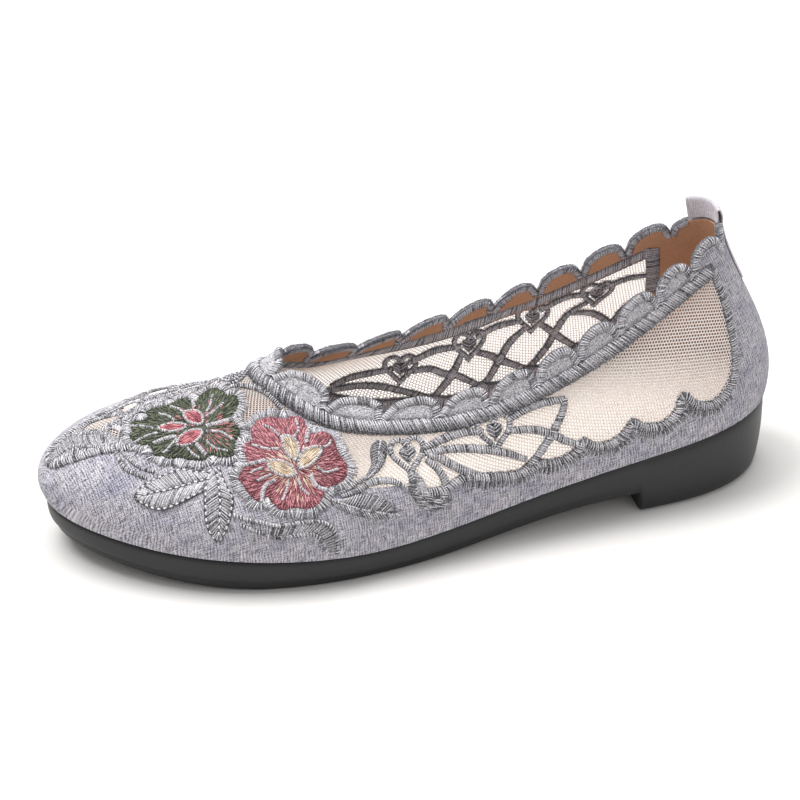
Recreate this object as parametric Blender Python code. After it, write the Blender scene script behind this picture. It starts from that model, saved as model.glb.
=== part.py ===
"""Cloth flat for a left foot: linen upper with a scalloped collar, an embroidered mesh window round the
opening, a heel pull loop, an insole and a moulded rubber sole.

Frame: +X to the toe, +Y to the wearer's left (the outer side of this shoe), +Z up, floor at Z = 0.
Tables and sizes are in millimetres; x is measured forward from the back of the sole.
"""

import math

import bpy
import numpy as np
from mathutils import Vector
from mathutils.geometry import delaunay_2d_cdt

MM = 0.001

# Driving sizes
SOLE_END_X = 248.0  # x of the toe tip; the back of the heel is near x = 5
ORIGIN_X = 127.33  # x of the frame's origin
ORIGIN_Y = 2.15  # y of the frame's origin
SEAT_GAP = 0.3  # clearance between pieces that touch
CURVE_GAP = 0.36  # the same for trims laid on the curved wall

# Sole: heights above the floor
BALL_X = 152.0
HEEL_TOP = 26.6
BALL_TOP = 10.0
TOE_LIFT_TOP = 7.0
TOE_LIFT_UNDER = 6.8
TREAD_START_X = 140.0
TREAD_END_X = 186.0
BREAST_X = 57.0
BREAST_RUN = 1.0
BREAST_HEIGHT = 7.0
SOLE_EDGE_COLUMNS = ("drop", "inset_side", "inset_toe")
SOLE_EDGE_ROWS = (
    (0.00, 0.5, 0.6),
    (0.35, 0.3, 0.5),
    (0.75, 0.7, 1.6),
    (0.92, 1.5, 3.2),
    (1.00, 2.8, 5.4),
)

# Upper wall, insole and mesh
WALL = 1.4
INSOLE_INSET = 2.2
INSOLE_THICK = 2.6
MESH_THICK = 0.6

# Ribs of the last, from the sole's edge (foot) to the base line of the collar, clockwise from the heel.
# lean: outward tilt where the rib leaves the sole; rise: slope where it reaches the collar (degrees);
# low_pull, high_pull: how far each end keeps its direction, as a share of the rib's length.
RIB_COLUMNS = (
    "foot_x", "foot_y", "collar_x", "collar_y", "collar_z", "lean", "rise", "low_pull", "high_pull",
)
RIB_ROWS = {
    "heel_back": (5.5, -1.0, 24.5, -0.5, 86.5, 12, 72, 0.34, 0.34),
    "heel_corner_outer": (13.0, 15.8, 29.0, 8.6, 84.6, 12, 73, 0.34, 0.34),
    "heel_side_outer": (30.0, 26.2, 42.0, 13.8, 78.2, 9, 73, 0.34, 0.34),
    "heel_front_outer": (56.0, 30.4, 64.0, 19.2, 66.6, 8, 72, 0.36, 0.34),
    "waist_outer": (92.0, 33.2, 92.0, 23.6, 54.8, 8, 68, 0.36, 0.34),
    "ball_rear_outer": (128.0, 39.4, 117.0, 24.4, 48.2, 9, 58, 0.38, 0.34),
    "ball_outer": (162.0, 44.0, 138.0, 21.0, 46.6, 10, 46, 0.40, 0.34),
    "toe_joint_outer": (196.0, 40.2, 155.0, 15.6, 47.6, 12, 40, 0.42, 0.34),
    "toe_corner_outer": (228.0, 24.6, 168.0, 6.6, 53.4, 20, 33, 0.40, 0.34),
    "toe_tip": (248.0, -5.0, 174.5, -4.0, 57.2, 29, 31, 0.33, 0.36),
    "toe_corner_inner": (234.0, -28.5, 167.5, -11.6, 54.2, 21, 38, 0.35, 0.38),
    "toe_joint_inner": (204.0, -40.0, 154.5, -16.8, 48.8, 13, 44, 0.38, 0.34),
    "ball_inner": (170.0, -39.6, 138.0, -21.6, 46.6, 10, 46, 0.40, 0.34),
    "ball_rear_inner": (134.0, -30.6, 117.0, -24.6, 48.2, 9, 58, 0.38, 0.34),
    "waist_inner": (94.0, -26.0, 92.0, -23.6, 54.8, 8, 68, 0.36, 0.34),
    "heel_front_inner": (56.0, -29.6, 64.0, -19.2, 66.6, 8, 72, 0.36, 0.34),
    "heel_side_inner": (30.0, -27.0, 42.0, -14.2, 78.2, 9, 73, 0.34, 0.34),
    "heel_corner_inner": (13.0, -17.4, 29.0, -9.4, 84.6, 12, 73, 0.34, 0.34),
}


def smooth(share):
    """Eases from 0 to 1."""
    share = np.clip(share, 0.0, 1.0)
    return share * share * (3.0 - 2.0 * share)


def sole_top(x):
    """Height of the sole's upper face: high at the heel, lowest at the ball, sprung up at the toe."""
    x = np.asarray(x, float)
    heel = (HEEL_TOP - BALL_TOP) * (1.0 - smooth(x / BALL_X))
    toe = TOE_LIFT_TOP * np.clip((x - BALL_X) / (SOLE_END_X - BALL_X), 0.0, 1.0) ** 1.4
    return BALL_TOP + heel + toe


def sole_under(x):
    """Height of the tread in front of the heel's breast: an arch, a flat tread, then toe spring."""
    x = np.asarray(x, float)
    arch = BREAST_HEIGHT * (1.0 - smooth((x - BREAST_X) / (TREAD_START_X - BREAST_X)))
    toe = TOE_LIFT_UNDER * np.clip((x - TREAD_END_X) / (SOLE_END_X - TREAD_END_X), 0.0, 1.0) ** 1.5
    return arch + toe


def closed_spline(knots, values):
    """A smooth closed curve through rows of values, as a function of u with period 1."""
    ends = np.append(knots, 1.0)
    rows = np.vstack([values, values[:1]])
    span = np.diff(ends)
    count = len(span)
    slope = np.diff(rows, axis=0) / span[:, None]
    system = np.zeros((count, count))
    for i in range(count):
        before = (i - 1) % count
        system[i, before] += span[before]
        system[i, i] += 2.0 * (span[before] + span[i])
        system[i, (i + 1) % count] += span[i]
    bend = np.linalg.solve(system, 6.0 * (slope - np.roll(slope, 1, axis=0)))
    bend = np.vstack([bend, bend[:1]])

    def curve(u):
        u = np.atleast_1d(u) % 1.0
        i = np.clip(np.searchsorted(ends, u, "right") - 1, 0, count - 1)
        width = span[i][:, None]
        after = (u - ends[i])[:, None]
        left = width - after
        start = rows[i] / width - bend[i] * width / 6.0
        end = rows[i + 1] / width - bend[i + 1] * width / 6.0
        return (bend[i] * left**3 + bend[i + 1] * after**3) / (6.0 * width) + start * left + end * after

    return curve


def rib_curve():
    """The rib table as a closed curve, with its knots spaced by the distance along the sole's edge."""
    table = np.array(list(RIB_ROWS.values()), float)
    steps = np.linalg.norm(np.diff(np.vstack([table[:, :2], table[:1, :2]]), axis=0), axis=1)
    knots = np.append(0.0, np.cumsum(steps)[:-1]) / steps.sum()
    return closed_spline(knots, table), steps.sum()


RIBS, LOOP = rib_curve()


def rib_handles(u):
    """The four handles of the rib at u: foot, low pull, high pull and collar."""
    row = dict(zip(RIB_COLUMNS, RIBS(u).T))
    foot = np.stack([row["foot_x"], row["foot_y"], sole_top(row["foot_x"]) + SEAT_GAP], axis=1)
    collar = np.stack([row["collar_x"], row["collar_y"], row["collar_z"]], axis=1)
    length = np.linalg.norm(collar - foot, axis=1, keepdims=True)
    inward = collar - foot
    inward[:, 2] = 0.0
    inward /= np.linalg.norm(inward, axis=1, keepdims=True)
    up = np.array([0.0, 0.0, 1.0])
    lean = np.radians(row["lean"])[:, None]
    rise = np.radians(row["rise"])[:, None]
    low = foot + length * row["low_pull"][:, None] * (up * np.cos(lean) - inward * np.sin(lean))
    high = collar - length * row["high_pull"][:, None] * (up * np.sin(rise) + inward * np.cos(rise))
    return foot, low, high, collar


def rib_point(u, v):
    """Point of the upper's outer face: v is 0 at the sole, 1 at the collar's base line, straight on above."""
    foot, low, high, collar = rib_handles(u)
    inside = np.minimum(np.atleast_1d(v), 1.0)[:, None]
    above = np.maximum(np.atleast_1d(v) - 1.0, 0.0)[:, None]
    back = 1.0 - inside
    arc = back**3 * foot + 3 * back**2 * inside * low + 3 * back * inside**2 * high + inside**3 * collar
    return arc + 3.0 * above * (collar - high)


def surface(u, v, offset=0.0):
    """Point at a distance outside the upper's outer face, in the table's millimetres."""
    u = np.atleast_1d(np.asarray(u, float))
    v = np.atleast_1d(np.asarray(v, float))
    step = 1e-4
    point = rib_point(u, v)
    along = rib_point(u + step, v) - rib_point(u - step, v)
    rising = rib_point(u, v + step) - rib_point(u, v - step)
    outward = np.cross(rising, along)
    outward /= np.linalg.norm(outward, axis=1, keepdims=True)
    return point + outward * np.broadcast_to(offset, u.shape)[:, None]


def slopes(u, v):
    """Changes of the surface point along u and along v."""
    step = 1e-4
    along = (rib_point(u + step, v) - rib_point(u - step, v)) / (2.0 * step)
    rising = (rib_point(u, v + step) - rib_point(u, v - step)) / (2.0 * step)
    return along, rising


def land(targets, u, v, passes=8):
    """Nearest (u, v) on the upper's outer face to each target point, starting from a guess."""
    u = np.array(np.broadcast_to(u, len(targets)), float)
    v = np.array(np.broadcast_to(v, len(targets)), float)
    for _ in range(passes):
        along, rising = slopes(u, v)
        miss = targets - rib_point(u, v)
        aa = (along * along).sum(1)
        ab = (along * rising).sum(1)
        bb = (rising * rising).sum(1)
        ma = (miss * along).sum(1)
        mb = (miss * rising).sum(1)
        size = aa * bb - ab * ab
        u = u + np.clip((ma * bb - mb * ab) / size, -0.03, 0.03)
        v = v + np.clip((mb * aa - ma * ab) / size, -0.15, 0.15)
    return np.stack([u, v], axis=1)


def pattern(rows):
    """Rows of (round, up) as (u, v): mm round the sole's edge from the heel, and per cent of the rib."""
    rows = np.asarray(rows, float)
    return np.stack([rows[:, 0] / LOOP, rows[:, 1] / 100.0], axis=1)


def flow(rows, step=2.5):
    """A smooth open line through pattern rows, resampled about every step mm."""
    knots = pattern(rows)
    ends = np.vstack([2 * knots[0] - knots[1], knots, 2 * knots[-1] - knots[-2]])
    line = []
    for i in range(1, len(ends) - 2):
        p0, p1, p2, p3 = ends[i - 1 : i + 3]
        reach = np.linalg.norm(rib_point(p2[:1], p2[1:]) - rib_point(p1[:1], p1[1:]))
        for t in np.linspace(0.0, 1.0, max(2, int(round(reach / step)) + 1))[:-1]:
            bend = (2 * p0 - 5 * p1 + 4 * p2 - p3) * t + (3 * p1 - p0 - 3 * p2 + p3) * t * t
            line.append(p1 + 0.5 * t * ((p2 - p0) + bend))
    line.append(knots[-1])
    return np.array(line)


def sideways(line, distance):
    """The line moved across the surface to its left by a distance in mm, seen from outside, u forward."""
    points = rib_point(line[:, 0], line[:, 1])
    ahead = np.gradient(points, axis=0)
    along, rising = slopes(line[:, 0], line[:, 1])
    outward = np.cross(rising, along)
    across = np.cross(ahead, outward)
    across /= np.linalg.norm(across, axis=1, keepdims=True)
    shift = np.broadcast_to(distance, len(line))[:, None]
    return land(points + across * shift, line[:, 0], line[:, 1], 3)


def band(rows, width, ends=0.0, step=4.2):
    """Outline of a strip along pattern rows; with ends set it swells from that width at both tips."""
    line = flow(rows, step)
    share = np.linspace(0.0, 1.0, len(line))
    half = np.full(len(line), 0.5 * width)
    if ends:
        half = 0.5 * (ends + (width - ends) * np.sin(math.pi * share) ** 0.7)
    return np.vstack([sideways(line, half), sideways(line, -half)[::-1]])


def motif(centre, offsets):
    """Outline given as mm offsets (toward the toe, up the wall) from a pattern point."""
    u, v = pattern([centre])[0]
    along, rising = slopes(np.array([u]), np.array([v]))
    outward = np.cross(rising[0], along[0])
    outward /= np.linalg.norm(outward)
    toe = np.array([1.0, 0.0, 0.0]) - outward * outward[0]
    toe /= np.linalg.norm(toe)
    up = np.cross(toe, outward)
    if up[2] < 0:
        up = -up
    start = rib_point(np.array([u]), np.array([v]))
    offsets = np.asarray(offsets, float)
    return land(start + offsets[:, :1] * toe + offsets[:, 1:] * up, u, v)


# Collar: distances along its base line from the heel's back, by way of the outer side
OUTER_VALLEYS = (8.2, 22.5, 37.1, 53.4, 68.7, 84.0, 100.2, 116.1, 134.4, 152.1, 171.2)
INNER_VALLEYS = (185.9, 201.0, 218.0, 234.9, 251.7, 267.5, 283.0, 298.6, 314.7, 331.0)
OUTER_END = 3.6  # the last, half scallop on each side stops at the pull loop
INNER_END = 337.3
OUTER_END_RISE = 4.4
INNER_END_RISE = 2.6
SCALLOP_RISE = 5.4  # heights here are from the line of the valleys
SCALLOP_EDGE = 2.7
CORD_TOP = -2.7
CORD_LOW = -7.4
HEEL_EDGE_RISE = 1.6
TRIM_THICK = 0.8
WINDOW_OUTER_END = 15.0
WINDOW_INNER_END = 322.0

# Edge of the mesh window as pattern rows (round, up): a rear edge, scalloped bays, then on to the toe
BAY_COLUMNS = ("end_round", "end_up", "lowest_up")
WINDOW = {
    "outer": {
        "rear": ((24.4, 76), (26.6, 61), (29.0, 45), (32.0, 33)),
        "bays": ((51.5, 36, 22.0), (70.0, 33, 22.0), (87.5, 34, 23.0), (103.0, 30, 25.0)),
        "front": ((111, 28), (122, 35), (131, 41), (139, 36), (149, 40), (154, 47), (174, 48), (190, 42)),
        "toe": ((200, 46), (214, 55), (229, 59), (244, 55), (257, 49), (263, 42), (267, 33), (271, 25)),
    },
    "inner": {
        "rear": ((509.3, 73), (508.0, 56), (504.0, 40), (499.0, 28)),
        "bays": ((480.0, 22, 14.0), (462.0, 18, 12.0), (446.0, 17, 11.0), (429.0, 16, 11.0)),
        "front": ((410, 18), (390, 26), (372, 34), (356, 40), (340, 42)),
        "toe": ((322, 45), (306, 48), (294, 48), (287, 41), (283, 32), (279, 25)),
    },
}

# Openwork strips on the window as pattern rows
BORDER_WIDTH = 3.0
BAR_WIDTH = 2.8
OUTER_BARS = (
    ((152, 73), (142, 78), (134, 78), (126, 74)),
    ((152, 69), (140, 68), (131, 64), (122, 57), (114.5, 48.5), (108, 38)),
    ((149, 67), (144.5, 64), (137, 54.5), (129.5, 44), (124, 37)),
    ((116, 76), (109, 79), (102, 78.8), (92, 73.4)),
    ((116, 68), (108, 63), (102.7, 57.5), (97.5, 49), (94, 41), (88.5, 32)),
    ((92, 74), (93.5, 65), (97.5, 53), (101.5, 43), (106, 33.6), (111, 28)),
    ((155, 60), (152, 50), (148, 36), (142.5, 26.5), (138.5, 29), (138, 40), (142, 53), (149, 64)),
)
OUTER_HEARTS = ((158, 69.5), (121, 71))
INNER_BARS = (
    ((415, 58), (424, 67), (437, 64)),
    ((443, 68), (451, 71.6), (460, 69)),
    ((467, 74), (477.5, 78), (487, 72)),
    ((492, 72), (500.6, 72.8), (508, 69)),
    ((416, 48), (426, 47), (432, 39), (438, 32.5), (446, 16)),
    ((443, 54), (449.6, 42), (453, 33.6), (462, 17)),
    ((466, 62), (471.6, 45), (475, 34), (480, 21)),
    ((479, 58), (486.3, 50.3), (491.5, 36), (494, 24)),
    ((438.5, 56), (436, 36), (432.6, 24), (429, 14)),
    ((462, 61), (456, 50), (453, 36.6), (449.6, 22), (446, 15)),
    ((486, 64), (478, 58.4), (473, 45.7), (469, 31), (462, 16)),
    ((507, 52), (499, 45), (494, 33), (488, 17)),
    ((390, 30), (400, 36), (410, 34), (421, 24.6), (429, 16)),
    ((391, 36), (396.6, 48.5), (410, 54)),
)
INNER_HEARTS = ((413.0, 53), (440.6, 62), (464.0, 68), (489.5, 69))
HEART_SIZE = 5.8

# Flowers: edge of the coloured petals as pattern rows, and the width of the stitched border round it
PETAL_BORDER = 2.3
RED_CENTRE = (206, 60.7)
RED_EDGE = (
    (235.9, 75.6), (236.7, 79.9), (233.9, 82.9), (228.1, 84.5), (226.5, 87.6), (220.6, 88.0), (215.1, 84.7),
    (209.4, 82.4), (206.8, 85.1), (201.1, 84.0), (196.1, 80.0), (191.0, 73.7), (183.4, 66.2), (179.9, 58.4),
    (180.7, 52.2), (183.5, 50.7), (183.9, 45.9), (184.1, 38.3), (186.7, 35.3), (191.7, 36.0), (194.8, 33.8),
    (199.6, 37.8), (202.6, 41.5), (204.0, 37.8), (207.4, 39.8), (213.4, 45.5), (218.0, 49.5), (219.2, 52.9),
    (221.4, 58.7), (226.5, 63.1), (230.1, 66.1), (229.0, 69.6), (232.9, 72.4),
)
GREEN_CENTRE = (252.5, 66.0)
GREEN_EDGE = (
    (263.4, 51.6), (266.0, 53.9), (270.4, 55.0), (272.6, 56.7), (270.1, 59.0), (271.5, 61.0), (275.1, 60.8),
    (277.4, 62.9), (275.8, 65.7), (275.0, 68.6), (276.6, 70.4), (275.4, 72.8), (269.8, 73.8), (267.4, 74.4),
    (272.3, 76.7), (274.6, 78.7), (273.7, 81.3), (266.8, 82.6), (261.6, 82.2), (258.5, 83.9), (252.8, 82.0),
    (248.9, 78.4), (246.4, 74.9), (241.8, 73.7), (236.2, 71.0), (234.3, 68.2), (232.5, 65.3), (228.9, 62.3),
    (227.7, 59.1), (230.4, 56.8), (234.2, 56.6), (233.6, 53.0), (237.3, 51.3), (240.8, 50.9), (243.2, 48.9),
    (245.9, 48.9), (248.4, 48.2), (251.3, 50.5), (254.3, 51.6), (255.7, 50.2), (259.2, 50.4),
)

# Leaves: base, bend and tip as pattern rows, then width
FRONT_LEAVES = (
    (((226, 46), (232, 36), (241, 25)), 9.0),
    (((227, 47), (218, 31), (210.5, 11)), 8.6),
)
SIDE_LEAF = (((178, 43), (166, 38), (154, 25)), 7.6)
BUD = (((174, 82), (173, 72), (170.8, 57)), 5.4)
SCROLL = (((207, 27), (196, 16), (181, 17), (174, 4)), 4.6)

# Pull loop at the heel: heights are from the collar's base line, reaches outside the upper's face
LOOP_WIDTH = 16.4
LOOP_CENTRE = -5.0  # distance along the collar from the middle of the heel
LOOP_THICK = 0.7
LOOP_COLUMNS = ("height", "reach")
LOOP_OUTER = ((-19.0, 1.1), (-13.0, 1.1), (-7.0, 1.1), (-2.0, 1.1), (2.4, 1.15), (5.2, 1.05), (7.6, 0.85))
LOOP_FOLD = ((9.0, 0.55), (9.6, -0.15), (9.0, -0.85))
LOOP_INNER = ((7.6, -1.1), (5.2, -1.2), (2.5, -1.15))
LOOP_SLANT = (1.22, 0.86)  # growth of the part above the edge at the inner and the outer end
LOOP_LEAN = 1.0  # how far the outer end leans back


def collar_table():
    """Distance along the collar's base line at many values of u."""
    u = np.linspace(0.0, 1.0, 1441)
    line = rib_point(u, np.ones_like(u))
    reach = np.append(0.0, np.cumsum(np.linalg.norm(np.diff(line, axis=0), axis=1)))
    return u, reach


COLLAR_U, COLLAR_REACH = collar_table()
COLLAR_LENGTH = COLLAR_REACH[-1]


def collar(distance, height):
    """(u, v) at a distance along the collar and a height in mm above its base line."""
    distance = np.asarray(distance, float)
    u = np.interp(distance % COLLAR_LENGTH, COLLAR_REACH, COLLAR_U) + np.floor(distance / COLLAR_LENGTH)
    _, _, high, top = rib_handles(u)
    return np.stack([u, 1.0 + height / (3.0 * np.linalg.norm(top - high, axis=1))], axis=1)


def scallop_valleys():
    """Distances of the valleys between scallops, from the outer end at the heel to the inner end."""
    return list(OUTER_VALLEYS + INNER_VALLEYS)


def scallop_edge(start, end, steps=7):
    """Distances and heights along the edge of one scallop, without its last point."""
    share = np.linspace(0.0, 1.0, steps + 1)[:-1]
    arch = np.maximum(1.0 - (2.0 * share - 1.0) ** 2, 0.0) ** 0.55
    return start + (end - start) * share, SCALLOP_RISE * arch


def collar_edge():
    """Distances and heights of the scalloped edge from the outer end at the heel to the inner end."""
    valleys = scallop_valleys()
    edge = [scallop_edge(a, b) for a, b in zip(valleys[:-1], valleys[1:])]
    half = np.array([0.0, 0.3, 0.55, 0.78, 0.93])
    arch = (1.0 - half**2) ** 0.55
    outer = OUTER_END + (valleys[0] - OUTER_END) * half
    inner = INNER_END + (valleys[-1] - INNER_END) * half
    distance = np.concatenate([outer] + [e[0] for e in edge] + [valleys[-1:], inner[::-1]])
    rises = [e[1] for e in edge]
    height = np.concatenate([OUTER_END_RISE * arch] + rises + [[0.0], INNER_END_RISE * arch[::-1]])
    return distance, height


def half_moon(start, end):
    """The opening inside one scallop, framed by its edge and the cord."""
    share = np.linspace(0.15, 0.85, 7)
    arch = np.maximum(1.0 - ((2.0 * share - 1.0) / 0.70) ** 2, 0.0) ** 0.6
    low = CORD_TOP + 0.2
    roof = collar(start + (end - start) * share, low + 0.3 + (SCALLOP_RISE - SCALLOP_EDGE - low - 0.3) * arch)
    floor = collar(start + (end - start) * share[::-1][1:-1], np.full(5, low))
    return np.vstack([roof, floor])


def window_edge(side):
    """The window's edge on one side as pattern rows, from its rear top corner to the toe."""
    shape = WINDOW[side]
    rows = list(shape["rear"])
    start, level = rows[-1]
    for bay in shape["bays"]:
        bay = dict(zip(BAY_COLUMNS, bay))
        for share in (0.18, 0.5, 0.82):
            edge = level + (bay["end_up"] - level) * share
            dip = math.sin(math.pi * share) ** 0.7
            rows.append((start + (bay["end_round"] - start) * share, edge + (bay["lowest_up"] - edge) * dip))
        start, level = bay["end_round"], bay["end_up"]
        rows.append((start, level))
    return np.array(rows + list(shape["front"]) + list(shape["toe"]), float)


def window_outline(inset=0.0):
    """Closed outline of the mesh window; inset draws it smaller all round."""
    distance = np.linspace(WINDOW_INNER_END - inset, WINDOW_OUTER_END + inset, 72)
    top = collar(distance, np.full(len(distance), CORD_LOW - inset))
    low = np.vstack([top[-1:], pattern(window_edge("outer")), pattern(window_edge("inner"))[::-1], top[:1]])
    if inset:
        low = sideways(low, inset)
    return np.vstack([top, low[1:-1]])


def heart(centre, size, grow=0.0):
    """A heart outline with its point toward the sole."""
    turn = np.linspace(0.0, 2.0 * math.pi, 15)[:-1]
    wide = np.sin(turn) ** 3
    tall = (13 * np.cos(turn) - 5 * np.cos(2 * turn) - 2 * np.cos(3 * turn) - np.cos(4 * turn)) / 16.0
    return motif(centre, np.stack([wide * (size + grow), tall * (size + grow)], axis=1))


def flower(centre, edge, grow=0.0):
    """A flower outline: its petals' edge in each direction, widened by the stitched border."""
    along, rising = slopes(*pattern([centre]).T)
    scale = np.array([np.linalg.norm(along) / LOOP, np.linalg.norm(rising) / 100.0])
    arms = (np.array(edge) - np.array(centre)) * scale
    at = np.degrees(np.arctan2(arms[:, 1], arms[:, 0]))
    turn = np.linspace(-180.0, 180.0, 73)[:-1]
    reach = np.interp(turn, at, np.linalg.norm(arms, axis=1), period=360.0) + PETAL_BORDER + grow
    angle = np.radians(turn)
    arms = np.stack([reach * np.cos(angle), reach * np.sin(angle)], axis=1)
    return pattern(np.array(centre) + arms / scale)


def leaf(shape, grow=0.0):
    """A leaf that swells between two fine tips."""
    rows, width = shape
    return band(rows, width + 2.0 * grow, 0.9 + 2.0 * grow, 3.0)


def within(outline, points):
    """Which points lie inside a closed outline."""
    x, y = points[:, :1], points[:, 1:]
    ax, ay = outline[:, 0], outline[:, 1]
    bx, by = np.roll(ax, -1), np.roll(ay, -1)
    rise = np.where(by == ay, 1e-12, by - ay)
    crossing = ((ay > y) != (by > y)) & (x < (bx - ax) * (y - ay) / rise + ax)
    return crossing.sum(axis=1) % 2 == 1


def largest(triangles):
    """The largest group of triangles joined by edges."""
    owner = {}
    for i, tri in enumerate(triangles):
        for a, b in zip(tri, np.roll(tri, -1)):
            owner.setdefault((min(a, b), max(a, b)), []).append(i)
    near = [[] for _ in triangles]
    for pair in owner.values():
        if len(pair) == 2:
            near[pair[0]].append(pair[1])
            near[pair[1]].append(pair[0])
    seen = np.zeros(len(triangles), bool)
    best = []
    for first in range(len(triangles)):
        if seen[first]:
            continue
        seen[first] = True
        group = [first]
        for i in group:
            for j in near[i]:
                if not seen[j]:
                    seen[j] = True
                    group.append(j)
        if len(group) > len(best):
            best = group
    return triangles[np.array(sorted(best))]


def triangulate(outlines, grain, holds, spots=()):
    """Triangles of a flat pattern: outlines stay edges, grain spaces inner points, spots adds more."""
    points = [tuple(p) for p in spots]
    edges = []
    for outline in outlines:
        first = len(points)
        points += [tuple(p) for p in outline]
        edges += [(first + i, first + (i + 1) % len(outline)) for i in range(len(outline))]
    rim = np.array(points)
    low, top = rim.min(axis=0), rim.max(axis=0)
    gx = np.arange(low[0] + grain / 2, top[0], grain)
    gy = np.arange(low[1] + grain / 2, top[1], grain)
    grid = np.stack(np.meshgrid(gx, gy), axis=-1).reshape(-1, 2)
    grid[:, 0] += np.where(np.round(grid[:, 1] / grain) % 2 == 0, 0.0, grain / 2)
    grid = grid[holds(grid)]
    for start in range(0, len(rim), 200):
        clear = np.linalg.norm(grid[:, None] - rim[None, start : start + 200], axis=2).min(axis=1)
        grid = grid[clear > grain * 0.45]
    flat = [Vector(p) for p in points] + [Vector(p) for p in grid]
    made = delaunay_2d_cdt(flat, edges, [], 0, 1e-4)
    places = np.array([tuple(p) for p in made[0]])
    triangles = np.array([tuple(f) for f in made[2]])
    middle = places[triangles].mean(axis=1)
    corner = places[triangles]
    ab, ac = corner[:, 1] - corner[:, 0], corner[:, 2] - corner[:, 0]
    area = ab[:, 0] * ac[:, 1] - ab[:, 1] * ac[:, 0]
    triangles[area < 0] = triangles[area < 0][:, ::-1]
    return places, triangles[holds(middle) & (np.abs(area) > 1e-5)]


def close_shell(outer, inner, triangles):
    """Points and faces of a solid between two copies of one triangulation."""
    count = len(outer)
    faces = [tuple(t) for t in triangles]
    faces += [tuple(t[::-1] + count) for t in triangles]
    sides = set()
    for tri in triangles:
        for a, b in zip(tri, np.roll(tri, -1)):
            sides.add((int(a), int(b)))
    for a, b in sides:
        if (b, a) not in sides:
            faces.append((b, a, a + count, b + count))
    return np.vstack([outer, inner]), faces


RISE_SCALE = 45.0  # mm of pattern height for a whole rib


def panel(name, paint, out, back, grain, material, seam=False, spots=()):
    """A piece of the upper between two distances outside its face: paint lists (outline, kept)."""
    scale = np.array([LOOP, RISE_SCALE])
    flat = [(outline * scale, kept) for outline, kept in paint]

    def holds(points):
        state = np.zeros(len(points), bool)
        for outline, kept in flat:
            state[within(outline, points)] = kept
        return state

    outlines = [outline for outline, _ in flat]
    places, triangles = triangulate(outlines, grain, holds, [p * scale for p in spots])
    if seam:
        home = {round(p[1], 3): i for i, p in enumerate(places) if abs(p[0]) < 1e-3}
        for i, p in enumerate(places):
            if abs(p[0] - LOOP) < 1e-3:
                triangles[triangles == i] = home[round(p[1], 3)]
    triangles = largest(triangles)
    used, triangles = np.unique(triangles, return_inverse=True)
    triangles = triangles.reshape(-1, 3)[:, ::-1]
    spots = places[used] / scale
    points, faces = close_shell(
        surface(spots[:, 0], spots[:, 1], out), surface(spots[:, 0], spots[:, 1], back), triangles
    )
    return solid(name, points, faces, material)


def solid(name, points, faces, material):
    """One named object from points in the table's millimetres."""
    placed = (np.asarray(points) - np.array([ORIGIN_X, ORIGIN_Y, 0.0])) * MM
    mesh = bpy.data.meshes.new(name)
    mesh.from_pydata([tuple(p) for p in placed], [], [tuple(int(i) for i in f) for f in faces])
    mesh.materials.append(material)
    mesh.update()
    mesh.shade_smooth()
    piece = bpy.data.objects.new(name, mesh)
    bpy.context.scene.collection.objects.link(piece)
    return piece


def finish(name, colour, roughness):
    """A plain material."""
    material = bpy.data.materials.new(name)
    material.use_nodes = True
    shader = material.node_tree.nodes["Principled BSDF"]
    shader.inputs["Base Color"].default_value = (*colour, 1.0)
    shader.inputs["Roughness"].default_value = roughness
    shader.inputs["Metallic"].default_value = 0.0
    return material


def sole_outline(u, inset):
    """Points of the sole's edge drawn in by a distance, in plan."""
    foot = RIBS(u)[:, :2]
    step = 1e-4
    ahead = RIBS(u + step)[:, :2] - RIBS(u - step)[:, :2]
    outward = np.stack([-ahead[:, 1], ahead[:, 0]], axis=1)
    outward /= np.linalg.norm(outward, axis=1, keepdims=True)
    return foot - outward * np.broadcast_to(inset, len(u))[:, None]


def edge_stations(count):
    """Values of u round the sole, with two pairs on the heel's breast."""
    u = np.linspace(0.0, 1.0, count + 1)[:-1]
    fine = np.linspace(0.0, 1.0, 20001)
    x = RIBS(fine)[:, 0]
    marks = []
    for side in (fine < 0.5, fine > 0.5):
        for at in (BREAST_X, BREAST_X + BREAST_RUN):
            marks.append(fine[side][np.argmin(np.abs(x[side] - at))])
    u = u[np.abs(u[:, None] - np.array(marks)[None]).min(axis=1) > 0.4 / count]
    return np.sort(np.append(u, marks)), marks


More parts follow.
